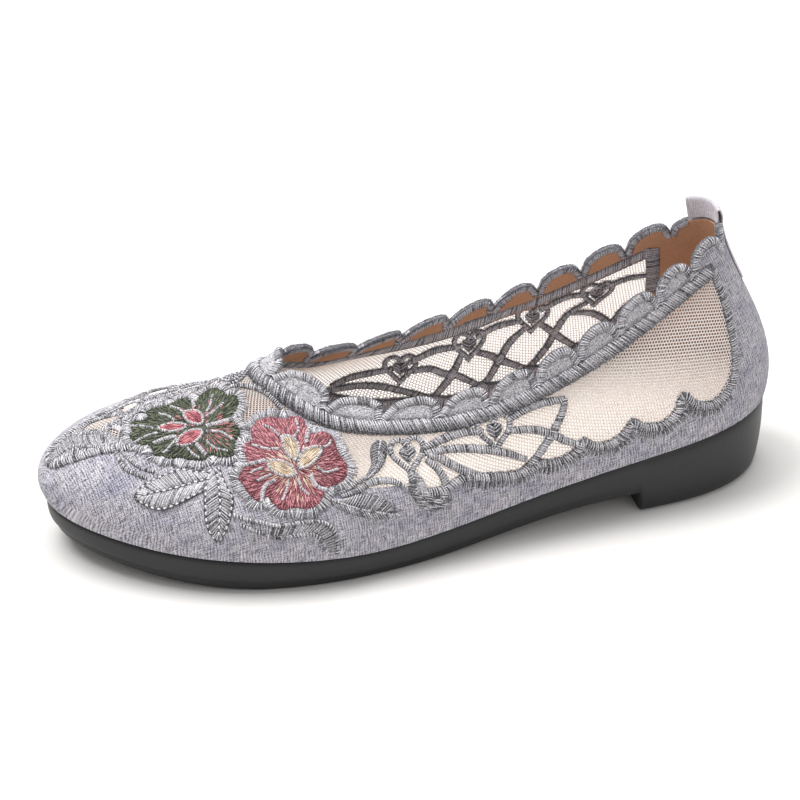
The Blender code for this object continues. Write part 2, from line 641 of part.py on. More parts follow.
def outsole(material):
    """The moulded sole: rounded sides, stepped heel, flat tread and sprung toe."""
    u, marks = edge_stations(92)
    toe = smooth((RIBS(u)[:, 0] - 185.0) / 60.0)
    heel = (RIBS(u)[:, 0] < BREAST_X + 0.5 * BREAST_RUN)
    rings = []
    for row in SOLE_EDGE_ROWS:
        edge = dict(zip(SOLE_EDGE_COLUMNS, row))
        plan = sole_outline(u, edge["inset_side"] + (edge["inset_toe"] - edge["inset_side"]) * toe)
        top = sole_top(plan[:, 0])
        under = np.where(heel, 0.0, sole_under(plan[:, 0]))
        rings.append(np.column_stack([plan, top + (under - top) * edge["drop"]]))
    count = len(u)
    points = list(np.vstack(rings))
    faces = []
    for level in range(len(rings) - 1):
        for i in range(count):
            j = (i + 1) % count
            a, b = level * count, (level + 1) * count
            faces.append((a + i, a + j, b + j, b + i))
    cross = [int(np.argmin(np.abs(u - m))) for m in marks]
    for ring, height in ((0, "top"), (len(rings) - 1, "under")):
        rim = rings[ring][:, :2]
        outlines = [rim]
        if height == "under":
            outlines += [rim[[cross[0], cross[2]]], rim[[cross[1], cross[3]]]]
        places, triangles = triangulate(outlines, 15.0, lambda p, rim=rim: within(rim, p))
        index = []
        for p in places:
            near = np.linalg.norm(rim - p, axis=1)
            if near.min() < 0.01:
                index.append(ring * count + int(near.argmin()))
            else:
                index.append(len(points))
                level = sole_top(p[0]) if height == "top" else (0.0 if p[0] < BREAST_X else sole_under(p[0]))
                points.append(np.array([p[0], p[1], float(level)]))
        for tri in triangles:
            tri = [index[i] for i in tri]
            faces.append(tuple(tri) if height == "top" else tuple(tri[::-1]))
    return solid("outsole", points, faces, material)


def insole(material):
    """A soft sheet on the sole, inside the wall."""
    u = np.linspace(0.0, 1.0, 73)[:-1]
    rim = sole_outline(u, INSOLE_INSET)
    places, triangles = triangulate([rim], 14.0, lambda p: within(rim, p))
    level = sole_top(places[:, 0]) + SEAT_GAP
    low = np.column_stack([places, level])
    top = np.column_stack([places, level + INSOLE_THICK])
    points, faces = close_shell(top, low, triangles)
    return solid("insole", points, faces, material)


def upper(material):
    """The linen wall with its scalloped edge and the window round the opening."""
    base = np.linspace(0.0, 1.0, 73)
    low = np.column_stack([base, np.zeros(len(base))])
    rear = np.linspace(0.1, 0.96, 9)
    start = np.column_stack([np.zeros(9), rear])
    end = np.column_stack([np.ones(9), rear])
    edge = collar(*collar_edge())
    outer_ends = [0.0, OUTER_END * 0.5, OUTER_END - 0.4]
    ends = np.array(outer_ends + [INNER_END + 0.4, COLLAR_LENGTH - 3.5, COLLAR_LENGTH])
    back = collar(np.minimum(ends, COLLAR_LENGTH - 1e-6), np.full(6, HEEL_EDGE_RISE))
    back[0, 0] = 0.0
    back[5] = (1.0, back[0, 1])
    top = np.vstack([back[:3], edge, back[3:]])
    outline = np.vstack([low, end, top[::-1], start[::-1]])
    paint = [(outline, True), (window_outline(), False)]
    ridge = collar(np.arange(10.0, COLLAR_LENGTH - 10.0, 5.2), CORD_TOP)
    return panel("upper", paint, 0.0, -WALL, 8.0, material, True, ridge)


def collar_trim(material):
    """The raised cord round the opening and the edge of every scallop."""
    valleys = scallop_valleys()
    along, height = collar_edge()
    distance = np.linspace(INNER_END, OUTER_END, 112)
    corded = (distance > WINDOW_OUTER_END - 3.0) & (distance < WINDOW_INNER_END + 3.0)
    half = (distance < valleys[0]) | (distance > valleys[-1])
    under = np.where(half, np.interp(distance, along, height) - SCALLOP_EDGE, CORD_TOP - 1.2)
    low = collar(distance, np.where(corded, CORD_LOW, under))
    paint = [(np.vstack([collar(along, height), low]), True)]
    paint += [(half_moon(a, b), False) for a, b in zip(valleys[:-1], valleys[1:])]
    return panel("collar_trim", paint, CURVE_GAP + TRIM_THICK, CURVE_GAP, 7.0, material)


def collar_zone():
    """The part of the pattern kept clear under the collar's cord."""
    distance = np.linspace(1.0, COLLAR_LENGTH - 1.0, 90)
    low = collar(distance, np.full(90, CORD_LOW - 0.35))
    top = collar(distance[::-1], np.full(90, 4.0))
    return np.vstack([low, top])


def blooms(grow):
    """Outlines of the flowers and leaves, drawn larger by grow."""
    shapes = [flower(RED_CENTRE, RED_EDGE, grow), flower(GREEN_CENTRE, GREEN_EDGE, grow)]
    return shapes + [leaf(SIDE_LEAF, grow), leaf(BUD, grow)] + [leaf(shape, grow) for shape in FRONT_LEAVES]


def openwork(side, material):
    """Raised strips over one side of the window: its border, the bars and the hearts."""
    edge = window_edge(side)
    if side == "outer":
        border = edge[edge[:, 0] < 160.0]
        strips = [band(rows, BAR_WIDTH) for rows in OUTER_BARS]
        hearts = [heart(centre, HEART_SIZE) for centre in OUTER_HEARTS]
    else:
        border = np.vstack([edge, window_edge("outer")[::-1][:4]])
        strips = [band(rows, BAR_WIDTH) for rows in INNER_BARS]
        hearts = [heart(centre, HEART_SIZE) for centre in INNER_HEARTS]
    paint = [(band(border, BORDER_WIDTH, step=4.0), True)]
    paint += [(shape, True) for shape in strips + hearts]
    paint += [(collar_zone(), False)] + [(shape, False) for shape in blooms(0.35)]
    return panel("openwork_" + side, paint, CURVE_GAP + TRIM_THICK, CURVE_GAP, 6.0, material)


def overlay(name, shape, material, cut=()):
    """A raised embroidered shape, cut clear of others."""
    paint = [(shape, True)] + [(other, False) for other in cut]
    return panel(name, paint, CURVE_GAP + TRIM_THICK, CURVE_GAP, 4.0, material)


def pull_loop(material):
    """A strip folded over the heel's edge and sewn down outside and inside."""
    outer = np.array(LOOP_OUTER + LOOP_FOLD + LOOP_INNER)
    ahead = np.gradient(outer, axis=0)
    across = np.column_stack([ahead[:, 1], -ahead[:, 0]])
    inner = outer + across / np.linalg.norm(across, axis=1, keepdims=True) * LOOP_THICK
    width = np.linspace(LOOP_CENTRE - LOOP_WIDTH / 2.0, LOOP_CENTRE + LOOP_WIDTH / 2.0, 9)
    grids = []
    for path in (outer, inner):
        grid = []
        for share, distance in zip(np.linspace(0.0, 1.0, len(width)), width):
            grown = LOOP_SLANT[0] + (LOOP_SLANT[1] - LOOP_SLANT[0]) * share
            above = np.maximum(path[:, 0] - 2.0, 0.0)
            spots = collar(np.full(len(path), COLLAR_LENGTH + distance), path[:, 0] + above * (grown - 1.0))
            reach = path[:, 1] + LOOP_LEAN * share * smooth(above / 5.0)
            grid.append(surface(spots[:, 0], spots[:, 1], reach))
        grids.append(np.array(grid))
    rows, count = len(width), len(outer)
    index = np.arange(rows * count).reshape(rows, count)
    triangles = []
    for i in range(rows - 1):
        for j in range(count - 1):
            a, b, c, d = index[i, j], index[i, j + 1], index[i + 1, j + 1], index[i + 1, j]
            triangles += [(a, b, c), (a, c, d)]
    points, faces = close_shell(grids[0].reshape(-1, 3), grids[1].reshape(-1, 3), np.array(triangles))
    return solid("pull_loop", points, faces, material)


def main():
    for piece in list(bpy.data.objects):
        bpy.data.objects.remove(piece, do_unlink=True)
    linen = finish("linen", (0.40, 0.39, 0.45), 0.9)
    mesh = finish("mesh", (0.83, 0.74, 0.68), 0.85)
    thread = finish("grey_thread", (0.45, 0.46, 0.50), 0.55)
    red = finish("red_thread", (0.50, 0.10, 0.13), 0.55)
    green = finish("green_thread", (0.07, 0.09, 0.06), 0.6)
    rubber = finish("rubber", (0.025, 0.026, 0.028), 0.6)
    lining = finish("insole_cloth", (0.80, 0.73, 0.66), 0.9)
    tape = finish("tape", (0.52, 0.48, 0.53), 0.85)

    outsole(rubber)
    insole(lining)
    upper(linen)
    panel("mesh_panel", [(window_outline(0.35), True)], 0.0, -MESH_THICK, 6.4, mesh)
    collar_trim(thread)
    openwork("outer", thread)
    openwork("inner", thread)
    red_shape = flower(RED_CENTRE, RED_EDGE)
    overlay("flower_red", red_shape, red, [collar_zone()])
    red_clear = flower(RED_CENTRE, RED_EDGE, 0.35)
    green_clear = flower(GREEN_CENTRE, GREEN_EDGE, 0.35)
    overlay("flower_green", flower(GREEN_CENTRE, GREEN_EDGE), green, [red_clear, collar_zone()])
    overlay("leaf_side", leaf(SIDE_LEAF), thread, [red_clear])
    overlay("bud", leaf(BUD), thread, [red_clear, collar_zone()])
    first, second = FRONT_LEAVES
    overlay("leaf_front", leaf(first), thread, [red_clear, green_clear])
    overlay("leaf_low", leaf(second), thread, [red_clear, green_clear, leaf(first, 0.35)])
    overlay("scroll", band(SCROLL[0], SCROLL[1], 2.0), thread, [red_clear, leaf(second, 0.35)])
    pull_loop(tape)


if __name__ == "__main__":
    main()
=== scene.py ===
import math

import bpy
import numpy as np
from mathutils import Matrix, Vector
from mathutils.geometry import delaunay_2d_cdt


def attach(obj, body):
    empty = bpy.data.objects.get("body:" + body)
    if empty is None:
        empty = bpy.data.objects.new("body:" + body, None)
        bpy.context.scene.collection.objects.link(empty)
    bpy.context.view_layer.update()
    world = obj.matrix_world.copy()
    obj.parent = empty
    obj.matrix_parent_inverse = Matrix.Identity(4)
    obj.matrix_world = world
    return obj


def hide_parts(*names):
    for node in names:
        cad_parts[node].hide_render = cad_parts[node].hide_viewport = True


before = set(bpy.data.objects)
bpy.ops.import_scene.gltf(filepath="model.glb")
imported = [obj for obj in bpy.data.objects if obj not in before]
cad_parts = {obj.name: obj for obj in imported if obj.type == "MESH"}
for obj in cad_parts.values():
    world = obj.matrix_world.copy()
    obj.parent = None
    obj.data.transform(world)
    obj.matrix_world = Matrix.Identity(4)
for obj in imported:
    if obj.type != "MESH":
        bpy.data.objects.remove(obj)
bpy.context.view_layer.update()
rng = np.random.default_rng(11)
print("frame loaded:", len(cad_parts), "nodes")

# The last, with the same sections as the solids: millimetres, x forward from the back of the sole
last = {
    "originX": 127.33,
    "originY": 2.15,
    "soleEnd": 248.0,
    "seatGap": 0.3,
    "ballX": 152.0,
    "heelTop": 26.6,
    "ballTop": 10.0,
    "toeLiftTop": 7.0,
    "toeLiftUnder": 6.8,
    "treadStart": 140.0,
    "treadEnd": 186.0,
    "breastX": 57.0,
    "breastRun": 1.0,
    "breastHeight": 7.0,
}
ribColumns = (
    "footX", "footY", "collarX", "collarY", "collarZ", "lean", "rise", "lowPull", "highPull",
)
ribRows = {
    "heelBack": (5.5, -1.0, 24.5, -0.5, 86.5, 12, 72, 0.34, 0.34),
    "heelCornerOuter": (13.0, 15.8, 29.0, 8.6, 84.6, 12, 73, 0.34, 0.34),
    "heelSideOuter": (30.0, 26.2, 42.0, 13.8, 78.2, 9, 73, 0.34, 0.34),
    "heelFrontOuter": (56.0, 30.4, 64.0, 19.2, 66.6, 8, 72, 0.36, 0.34),
    "waistOuter": (92.0, 33.2, 92.0, 23.6, 54.8, 8, 68, 0.36, 0.34),
    "ballRearOuter": (128.0, 39.4, 117.0, 24.4, 48.2, 9, 58, 0.38, 0.34),
    "ballOuter": (162.0, 44.0, 138.0, 21.0, 46.6, 10, 46, 0.40, 0.34),
    "toeJointOuter": (196.0, 40.2, 155.0, 15.6, 47.6, 12, 40, 0.42, 0.34),
    "toeCornerOuter": (228.0, 24.6, 168.0, 6.6, 53.4, 20, 33, 0.40, 0.34),
    "toeTip": (248.0, -5.0, 174.5, -4.0, 57.2, 29, 31, 0.33, 0.36),
    "toeCornerInner": (234.0, -28.5, 167.5, -11.6, 54.2, 21, 38, 0.35, 0.38),
    "toeJointInner": (204.0, -40.0, 154.5, -16.8, 48.8, 13, 44, 0.38, 0.34),
    "ballInner": (170.0, -39.6, 138.0, -21.6, 46.6, 10, 46, 0.40, 0.34),
    "ballRearInner": (134.0, -30.6, 117.0, -24.6, 48.2, 9, 58, 0.38, 0.34),
    "waistInner": (94.0, -26.0, 92.0, -23.6, 54.8, 8, 68, 0.36, 0.34),
    "heelFrontInner": (56.0, -29.6, 64.0, -19.2, 66.6, 8, 72, 0.36, 0.34),
    "heelSideInner": (30.0, -27.0, 42.0, -14.2, 78.2, 9, 73, 0.34, 0.34),
    "heelCornerInner": (13.0, -17.4, 29.0, -9.4, 84.6, 12, 73, 0.34, 0.34),
}


def ease(share):
    share = np.clip(share, 0.0, 1.0)
    return share * share * (3.0 - 2.0 * share)


def soleTop(x):
    x = np.asarray(x, float)
    heel = (last["heelTop"] - last["ballTop"]) * (1.0 - ease(x / last["ballX"]))
    ahead = np.clip((x - last["ballX"]) / (last["soleEnd"] - last["ballX"]), 0.0, 1.0)
    return last["ballTop"] + heel + last["toeLiftTop"] * ahead**1.4


def soleUnder(x):
    x = np.asarray(x, float)
    run = (x - last["breastX"]) / (last["treadStart"] - last["breastX"])
    ahead = np.clip((x - last["treadEnd"]) / (last["soleEnd"] - last["treadEnd"]), 0.0, 1.0)
    return last["breastHeight"] * (1.0 - ease(run)) + last["toeLiftUnder"] * ahead**1.5


# Closed cubic spline through the rib rows, knots spaced along the sole's edge
def closedSpline(knots, values):
    ends = np.append(knots, 1.0)
    rows = np.vstack([values, values[:1]])
    span = np.diff(ends)
    count = len(span)
    slope = np.diff(rows, axis=0) / span[:, None]
    system = np.zeros((count, count))
    for i in range(count):
        before = (i - 1) % count
        system[i, before] += span[before]
        system[i, i] += 2.0 * (span[before] + span[i])
        system[i, (i + 1) % count] += span[i]
    bend = np.linalg.solve(system, 6.0 * (slope - np.roll(slope, 1, axis=0)))
    bend = np.vstack([bend, bend[:1]])

    def curve(u):
        u = np.atleast_1d(u) % 1.0
        i = np.clip(np.searchsorted(ends, u, "right") - 1, 0, count - 1)
        width = span[i][:, None]
        after = (u - ends[i])[:, None]
        left = width - after
        start = rows[i] / width - bend[i] * width / 6.0
        end = rows[i + 1] / width - bend[i + 1] * width / 6.0
        return (bend[i] * left**3 + bend[i + 1] * after**3) / (6.0 * width) + start * left + end * after

    return curve


ribTable = np.array(list(ribRows.values()), float)
ribSteps = np.linalg.norm(np.diff(np.vstack([ribTable[:, :2], ribTable[:1, :2]]), axis=0), axis=1)
loopLength = ribSteps.sum()
ribs = closedSpline(np.append(0.0, np.cumsum(ribSteps)[:-1]) / loopLength, ribTable)


def ribHandles(u):
    row = dict(zip(ribColumns, ribs(u).T))
    foot = np.stack([row["footX"], row["footY"], soleTop(row["footX"]) + last["seatGap"]], axis=1)
    collar = np.stack([row["collarX"], row["collarY"], row["collarZ"]], axis=1)
    length = np.linalg.norm(collar - foot, axis=1, keepdims=True)
    inward = collar - foot
    inward[:, 2] = 0.0
    inward /= np.linalg.norm(inward, axis=1, keepdims=True)
    up = np.array([0.0, 0.0, 1.0])
    lean = np.radians(row["lean"])[:, None]
    rise = np.radians(row["rise"])[:, None]
    low = foot + length * row["lowPull"][:, None] * (up * np.cos(lean) - inward * np.sin(lean))
    high = collar - length * row["highPull"][:, None] * (up * np.sin(rise) + inward * np.cos(rise))
    return foot, low, high, collar


# u runs round the shoe from the heel's back by the outer side, v up the wall: 0 at the sole, 1 at the collar
def wallPoint(u, v):
    foot, low, high, collar = ribHandles(u)
    inside = np.minimum(np.atleast_1d(v), 1.0)[:, None]
    above = np.maximum(np.atleast_1d(v) - 1.0, 0.0)[:, None]
    back = 1.0 - inside
    arc = back**3 * foot + 3 * back**2 * inside * low + 3 * back * inside**2 * high + inside**3 * collar
    return arc + 3.0 * above * (collar - high)


def wallSlopes(u, v, step=1e-4):
    along = (wallPoint(u + step, v) - wallPoint(u - step, v)) / (2.0 * step)
    rising = (wallPoint(u, v + step) - wallPoint(u, v - step)) / (2.0 * step)
    return along, rising


def wallFrame(u, v):
    along, rising = wallSlopes(u, v)
    outward = np.cross(rising, along)
    outward /= np.linalg.norm(outward, axis=1, keepdims=True)
    return wallPoint(u, v), outward


longestMove = {"round": 0.03, "up": 0.15}  # the most that one pass of a search on the wall changes u and v


def nudge(place, move, way):
    return place + np.clip(move, -longestMove[way], longestMove[way])


# Nearest place on the wall to each target, from a guess
def land(targets, u, v, passes=8):
    u = np.array(np.broadcast_to(u, len(targets)), float)
    v = np.array(np.broadcast_to(v, len(targets)), float)
    for _ in range(passes):
        along, rising = wallSlopes(u, v)
        miss = targets - wallPoint(u, v)
        aa, ab, bb = (along * along).sum(1), (along * rising).sum(1), (rising * rising).sum(1)
        ma, mb = (miss * along).sum(1), (miss * rising).sum(1)
        size = aa * bb - ab * ab
        u = nudge(u, (ma * bb - mb * ab) / size, "round")
        v = nudge(v, (mb * aa - ma * ab) / size, "up")
    return np.stack([u, v], axis=1)


# Pattern rows are (round, up): mm along the sole's edge from the heel, and per cent of the wall
def pattern(rows):
    rows = np.asarray(rows, float)
    return np.stack([rows[:, 0] / loopLength, rows[:, 1] / 100.0], axis=1)


# A share t of the way between the middle two of four knots, on a smooth curve through them all
def bendThrough(four, t):
    p0, p1, p2, p3 = four
    bend = (2 * p0 - 5 * p1 + 4 * p2 - p3) * t + (3 * p1 - p0 - 3 * p2 + p3) * t * t
    return p1 + 0.5 * t * ((p2 - p0) + bend)


def flowUv(knots, step=1.2, closed=False):
    if closed:
        ends = np.vstack([knots[-1:], knots, knots[:2]])
    else:
        ends = np.vstack([2 * knots[0] - knots[1], knots, 2 * knots[-1] - knots[-2]])
    line = []
    for i in range(1, len(ends) - 2):
        four = ends[i - 1 : i + 3]
        start, end = four[1], four[2]
        reach = np.linalg.norm(wallPoint(end[:1], end[1:]) - wallPoint(start[:1], start[1:]))
        for t in np.linspace(0.0, 1.0, max(2, int(round(reach / step)) + 1))[:-1]:
            line.append(bendThrough(four, t))
    return np.array(line) if closed else np.array(line + [knots[-1]])


def flow(rows, step=1.2, closed=False):
    return flowUv(pattern(rows), step, closed)


def sideways(line, distance, closed=False):
    points = wallPoint(line[:, 0], line[:, 1])
    if closed:
        ahead = np.roll(points, -1, axis=0) - np.roll(points, 1, axis=0)
    else:
        ahead = np.gradient(points, axis=0)
    along, rising = wallSlopes(line[:, 0], line[:, 1])
    across = np.cross(ahead, np.cross(rising, along))
    across /= np.linalg.norm(across, axis=1, keepdims=True)
    shift = np.broadcast_to(distance, len(line))[:, None]
    return land(points + across * shift, line[:, 0], line[:, 1], 3)


# The same line with places a pitch apart in true length
def evenly(line, pitch, closed=False):
    if closed:
        line = np.vstack([line, line[:1]])
    points = wallPoint(line[:, 0], line[:, 1])
    reach = np.append(0.0, np.cumsum(np.linalg.norm(np.diff(points, axis=0), axis=1)))
    count = max(2, int(round(reach[-1] / pitch)))
    at = np.linspace(0.0, reach[-1], count + 1)
    if closed:
        at = at[:-1]
    return np.stack([np.interp(at, reach, line[:, 0]), np.interp(at, reach, line[:, 1])], axis=1)


# The same line with a given number of places, spaced as its own are
def spaced(line, count):
    at = np.linspace(0.0, len(line) - 1.0, count)
    return np.stack([np.interp(at, np.arange(len(line)), line[:, k]) for k in (0, 1)], axis=1)


# Flat plane at a pattern place, with one axis toward the toe and one up the wall
def flatPlane(centre):
    u, v = pattern([centre])[0]
    start, outward = wallFrame(np.array([u]), np.array([v]))
    outward = outward[0]
    toe = np.array([1.0, 0.0, 0.0]) - outward * outward[0]
    toe /= np.linalg.norm(toe)
    up = np.cross(toe, outward)
    return start[0], toe, up if up[2] > 0 else -up


# Offsets in mm on that plane to places on the wall, and back
def motif(centre, offsets, passes=8):
    start, toe, up = flatPlane(centre)
    offsets = np.asarray(offsets, float)
    u, v = (np.full(len(offsets), value) for value in pattern([centre])[0])
    for _ in range(passes):
        along, rising = wallSlopes(u, v)
        miss = wallPoint(u, v) - start
        missToe, missUp = offsets[:, 0] - miss @ toe, offsets[:, 1] - miss @ up
        at, ru, au, rt = along @ toe, rising @ up, along @ up, rising @ toe
        size = at * ru - au * rt
        u = nudge(u, (missToe * ru - missUp * rt) / size, "round")
        v = nudge(v, (missUp * at - missToe * au) / size, "up")
    return np.stack([u, v], axis=1)


def flatten(centre, uv):
    start, toe, up = flatPlane(centre)
    away = wallPoint(uv[:, 0], uv[:, 1]) - start
    return np.stack([away @ toe, away @ up], axis=1)


collar = {
    "outerValleys": (8.2, 22.5, 37.1, 53.4, 68.7, 84.0, 100.2, 116.1, 134.4, 152.1, 171.2),
    "innerValleys": (185.9, 201.0, 218.0, 234.9, 251.7, 267.5, 283.0, 298.6, 314.7, 331.0),
    "outerEnd": 3.6,
    "innerEnd": 337.3,
    "outerEndRise": 4.4,
    "innerEndRise": 2.6,
    "scallopRise": 5.4,
    "scallopEdge": 2.7,
    "cordTop": -2.7,
    "cordLow": -7.4,
    "heelRise": 1.6,
    "heelFrom": 337.7,
    "heelTo": 3.2,
    "windowOuterEnd": 15.0,
    "windowInnerEnd": 322.0,
}
collarU = np.linspace(0.0, 1.0, 1441)
collarLine = wallPoint(collarU, np.ones_like(collarU))
collarReach = np.append(0.0, np.cumsum(np.linalg.norm(np.diff(collarLine, axis=0), axis=1)))
collarLength = collarReach[-1]


# Distance along the collar from the heel's back, and mm above the line of the valleys
def collarAt(distance, height):
    distance = np.asarray(distance, float)
    turns = np.floor(distance / collarLength)
    u = np.interp(distance % collarLength, collarReach, collarU) + turns
    _, _, high, top = ribHandles(u)
    return np.stack([u, 1.0 + height / (3.0 * np.linalg.norm(top - high, axis=1))], axis=1)


def scallopArch(share, rise):
    return rise * np.maximum(1.0 - (2.0 * share - 1.0) ** 2, 0.0) ** 0.55


# Half scallops beside the pull tab: from the tab's end (0) to the first or last valley (1)
def halfScallop(side, share):
    end, rise = collar[side + "End"], collar[side + "EndRise"]
    valley = collar["outerValleys"][0] if side == "outer" else collar["innerValleys"][-1]
    return end + (valley - end) * share, rise * np.maximum(1.0 - share**2, 0.0) ** 0.55


valleys = collar["outerValleys"] + collar["innerValleys"]
scallops = list(zip(valleys[:-1], valleys[1:]))

# Edge of the net window: a rear edge, scalloped bays (end round, end up, lowest up), then on to the toe
window = {
    "outer": {
        "rear": ((24.4, 76), (26.6, 61), (29.0, 45), (32.0, 33)),
        "bays": ((51.5, 36, 22.0), (70.0, 33, 22.0), (87.5, 34, 23.0), (103.0, 30, 25.0)),
        "front": ((111, 28), (122, 35), (131, 41), (139, 36), (149, 40), (154, 47), (174, 48), (190, 42)),
        "toe": ((200, 46), (214, 55), (229, 59), (244, 55), (257, 49), (263, 42), (267, 33), (271, 25)),
    },
    "inner": {
        "rear": ((509.3, 73), (508.0, 56), (504.0, 40), (499.0, 28)),
        "bays": ((480.0, 22, 14.0), (462.0, 18, 12.0), (446.0, 17, 11.0), (429.0, 16, 11.0)),
        "front": ((410, 18), (390, 26), (372, 34), (356, 40), (340, 42)),
        "toe": ((322, 45), (306, 48), (294, 48), (287, 41), (283, 32), (279, 25)),
    },
}


def windowEdge(side):
    shape = window[side]
    rows = list(shape["rear"])
    start, level = rows[-1]
    for endRound, endUp, lowest in shape["bays"]:
        for share in (0.18, 0.5, 0.82):
            edge = level + (endUp - level) * share
            dip = math.sin(math.pi * share) ** 0.7
            rows.append((start + (endRound - start) * share, edge + (lowest - edge) * dip))
        start, level = endRound, endUp
        rows.append((start, level))
    return np.array(rows + list(shape["front"]) + list(shape["toe"]), float)


def windowOutline(lift=0.0):
    distance = np.linspace(collar["windowInnerEnd"], collar["windowOuterEnd"], 160)
    top = collarAt(distance, np.full(len(distance), collar["cordLow"] + lift))
    outer, inner = flow(windowEdge("outer"), 2.0), flow(windowEdge("inner"), 2.0)[::-1]
    return np.vstack([top, outer, inner])


def within(outline, points):
    x, y = points[:, :1], points[:, 1:]
    ax, ay = outline[:, 0], outline[:, 1]
    bx, by = np.roll(ax, -1), np.roll(ay, -1)
    rise = np.where(by == ay, 1e-12, by - ay)
    crossing = ((ay > y) != (by > y)) & (x < (bx - ax) * (y - ay) / rise + ax)
    return crossing.sum(axis=1) % 2 == 1


# Arc length round the wall at mid height, and each rib's length, for weave and net
tableU = np.linspace(0.0, 1.0, 1201)
ringLine = wallPoint(tableU, np.full(len(tableU), 0.55))
tableRound = np.append(0.0, np.cumsum(np.linalg.norm(np.diff(ringLine, axis=0), axis=1)))
ribStations = [wallPoint(tableU, np.full(len(tableU), v)) for v in np.linspace(0.0, 1.0, 25)]
tableRib = sum(np.linalg.norm(b - a, axis=1) for a, b in zip(ribStations[:-1], ribStations[1:]))


# Cloth millimetres over the wall: the warp runs straight to the toe and follows the wall round the heel
weaveLie = {"turn": 17.0, "heelEnd": 40.0, "heelBlend": 60.0, "columns": 161, "rows": 13, "top": 1.12}


def clothTable():
    columns, rows = weaveLie["columns"], weaveLie["rows"]
    lapShares, upShares = np.linspace(0.0, 1.0, columns), np.linspace(0.0, weaveLie["top"], rows)
    u, v = (grid.ravel() for grid in np.meshgrid(lapShares, upShares, indexing="ij"))
    point, outward = wallFrame(u, v)
    lap = wallSlopes(u, v)[0] * np.where(u < 0.5, 1.0, -1.0)[:, None]
    lap /= np.linalg.norm(lap, axis=1, keepdims=True)
    turn = math.radians(weaveLie["turn"])
    straight = np.array([math.cos(turn), math.sin(turn), 0.0])
    straight = straight - outward * (outward @ straight)[:, None]
    straight /= np.linalg.norm(straight, axis=1, keepdims=True)
    heel = np.minimum(u, 1.0 - u) * loopLength
    share = ease((heel - weaveLie["heelEnd"]) / weaveLie["heelBlend"])[:, None]
    warp = lap * (1.0 - share) + straight * share
    warp /= np.linalg.norm(warp, axis=1, keepdims=True)
    weft = np.cross(outward, warp)
    index = np.arange(columns * rows).reshape(columns, rows)
    a = np.concatenate([index[:-1].ravel(), index[:, :-1].ravel()])
    b = np.concatenate([index[1:].ravel(), index[:, 1:].ravel()])
    step = point[b] - point[a]
    gain = np.stack([0.5 * (step * (way[a] + way[b])).sum(axis=1) for way in (warp, weft)], axis=1)
    system = np.zeros((len(u), len(u)))
    for i, j, weight in ((a, a, 1.0), (b, b, 1.0), (a, b, -1.0), (b, a, -1.0)):
        np.add.at(system, (i, j), weight)
    system[0, 0] += 1.0
    total = np.zeros((len(u), 2))
    np.add.at(total, b, gain)
    np.add.at(total, a, -gain)
    return np.linalg.solve(system, total).reshape(columns, rows, 2)


clothLie = clothTable()


def clothAt(u, v):
    column = np.clip(u, 0.0, 1.0) * (weaveLie["columns"] - 1)
    row = np.clip(v / weaveLie["top"], 0.0, 1.0) * (weaveLie["rows"] - 1)
    i = np.minimum(column.astype(int), weaveLie["columns"] - 2)
    j = np.minimum(row.astype(int), weaveLie["rows"] - 2)
    s, t = (column - i)[:, None], (row - j)[:, None]
    low = clothLie[i, j] * (1.0 - s) + clothLie[i + 1, j] * s
    high = clothLie[i, j + 1] * (1.0 - s) + clothLie[i + 1, j + 1] * s
    return np.column_stack([low * (1.0 - t) + high * t, np.zeros(len(column))])


# A piece from points in table millimetres: groups of faces, one material number a group or a face
def makePiece(name, points, groups, materials, numbers=None, shade=None, cloth=None, sharp=None):
    placed = (np.asarray(points) - np.array([last["originX"], last["originY"], 0.0])) * 0.001
    groups = [np.asarray(g, int) for g in groups if len(g)]
    corners = np.concatenate([g.ravel() for g in groups])
    sizes = np.concatenate([np.full(len(g), g.shape[1]) for g in groups])
    mesh = bpy.data.meshes.new(name)
    mesh.vertices.add(len(placed))
    mesh.vertices.foreach_set("co", placed.astype(np.float32).ravel())
    mesh.loops.add(len(corners))
    mesh.polygons.add(len(sizes))
    mesh.polygons.foreach_set("loop_start", np.append(0, np.cumsum(sizes)[:-1]).astype(np.int32))
    mesh.polygons.foreach_set("vertices", corners.astype(np.int32))
    for material in materials:
        mesh.materials.append(material)
    if numbers is not None:
        mesh.polygons.foreach_set("material_index", np.asarray(numbers, np.int32))
    mesh.update(calc_edges=True)
    if shade is not None:
        mesh.attributes.new("shade", "FLOAT", "POINT").data.foreach_set("value", shade.astype(np.float32))
    if cloth is not None:
        layer = mesh.attributes.new("cloth", "FLOAT_VECTOR", "POINT")
        layer.data.foreach_set("vector", cloth.astype(np.float32).ravel())
    mesh.shade_smooth()
    if sharp is not None:
        mesh.set_sharp_from_angle(angle=math.radians(sharp))
    piece = bpy.data.objects.new(name, mesh)
    bpy.context.scene.collection.objects.link(piece)
    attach(piece, "root")
    return piece


# Shader groups and finishes
def addNode(tree, kind, **settings):
    made = tree.nodes.new(kind)
    for key, value in settings.items():
        setattr(made, key, value)
    return made


def feed(tree, socket, value):
    if isinstance(value, bpy.types.NodeSocket):
        tree.links.new(value, socket)
    else:
        socket.default_value = value


def maths(tree, operation, *values):
    made = addNode(tree, "ShaderNodeMath", operation=operation)
    for socket, value in zip(made.inputs, values):
        feed(tree, socket, value)
    return made.outputs[0]


def blendColours(tree, share, dark, light):
    made = addNode(tree, "ShaderNodeMix", data_type="RGBA")
    feed(tree, made.inputs[0], share)
    feed(tree, made.inputs[6], dark)
    feed(tree, made.inputs[7], light)
    return made.outputs[2]


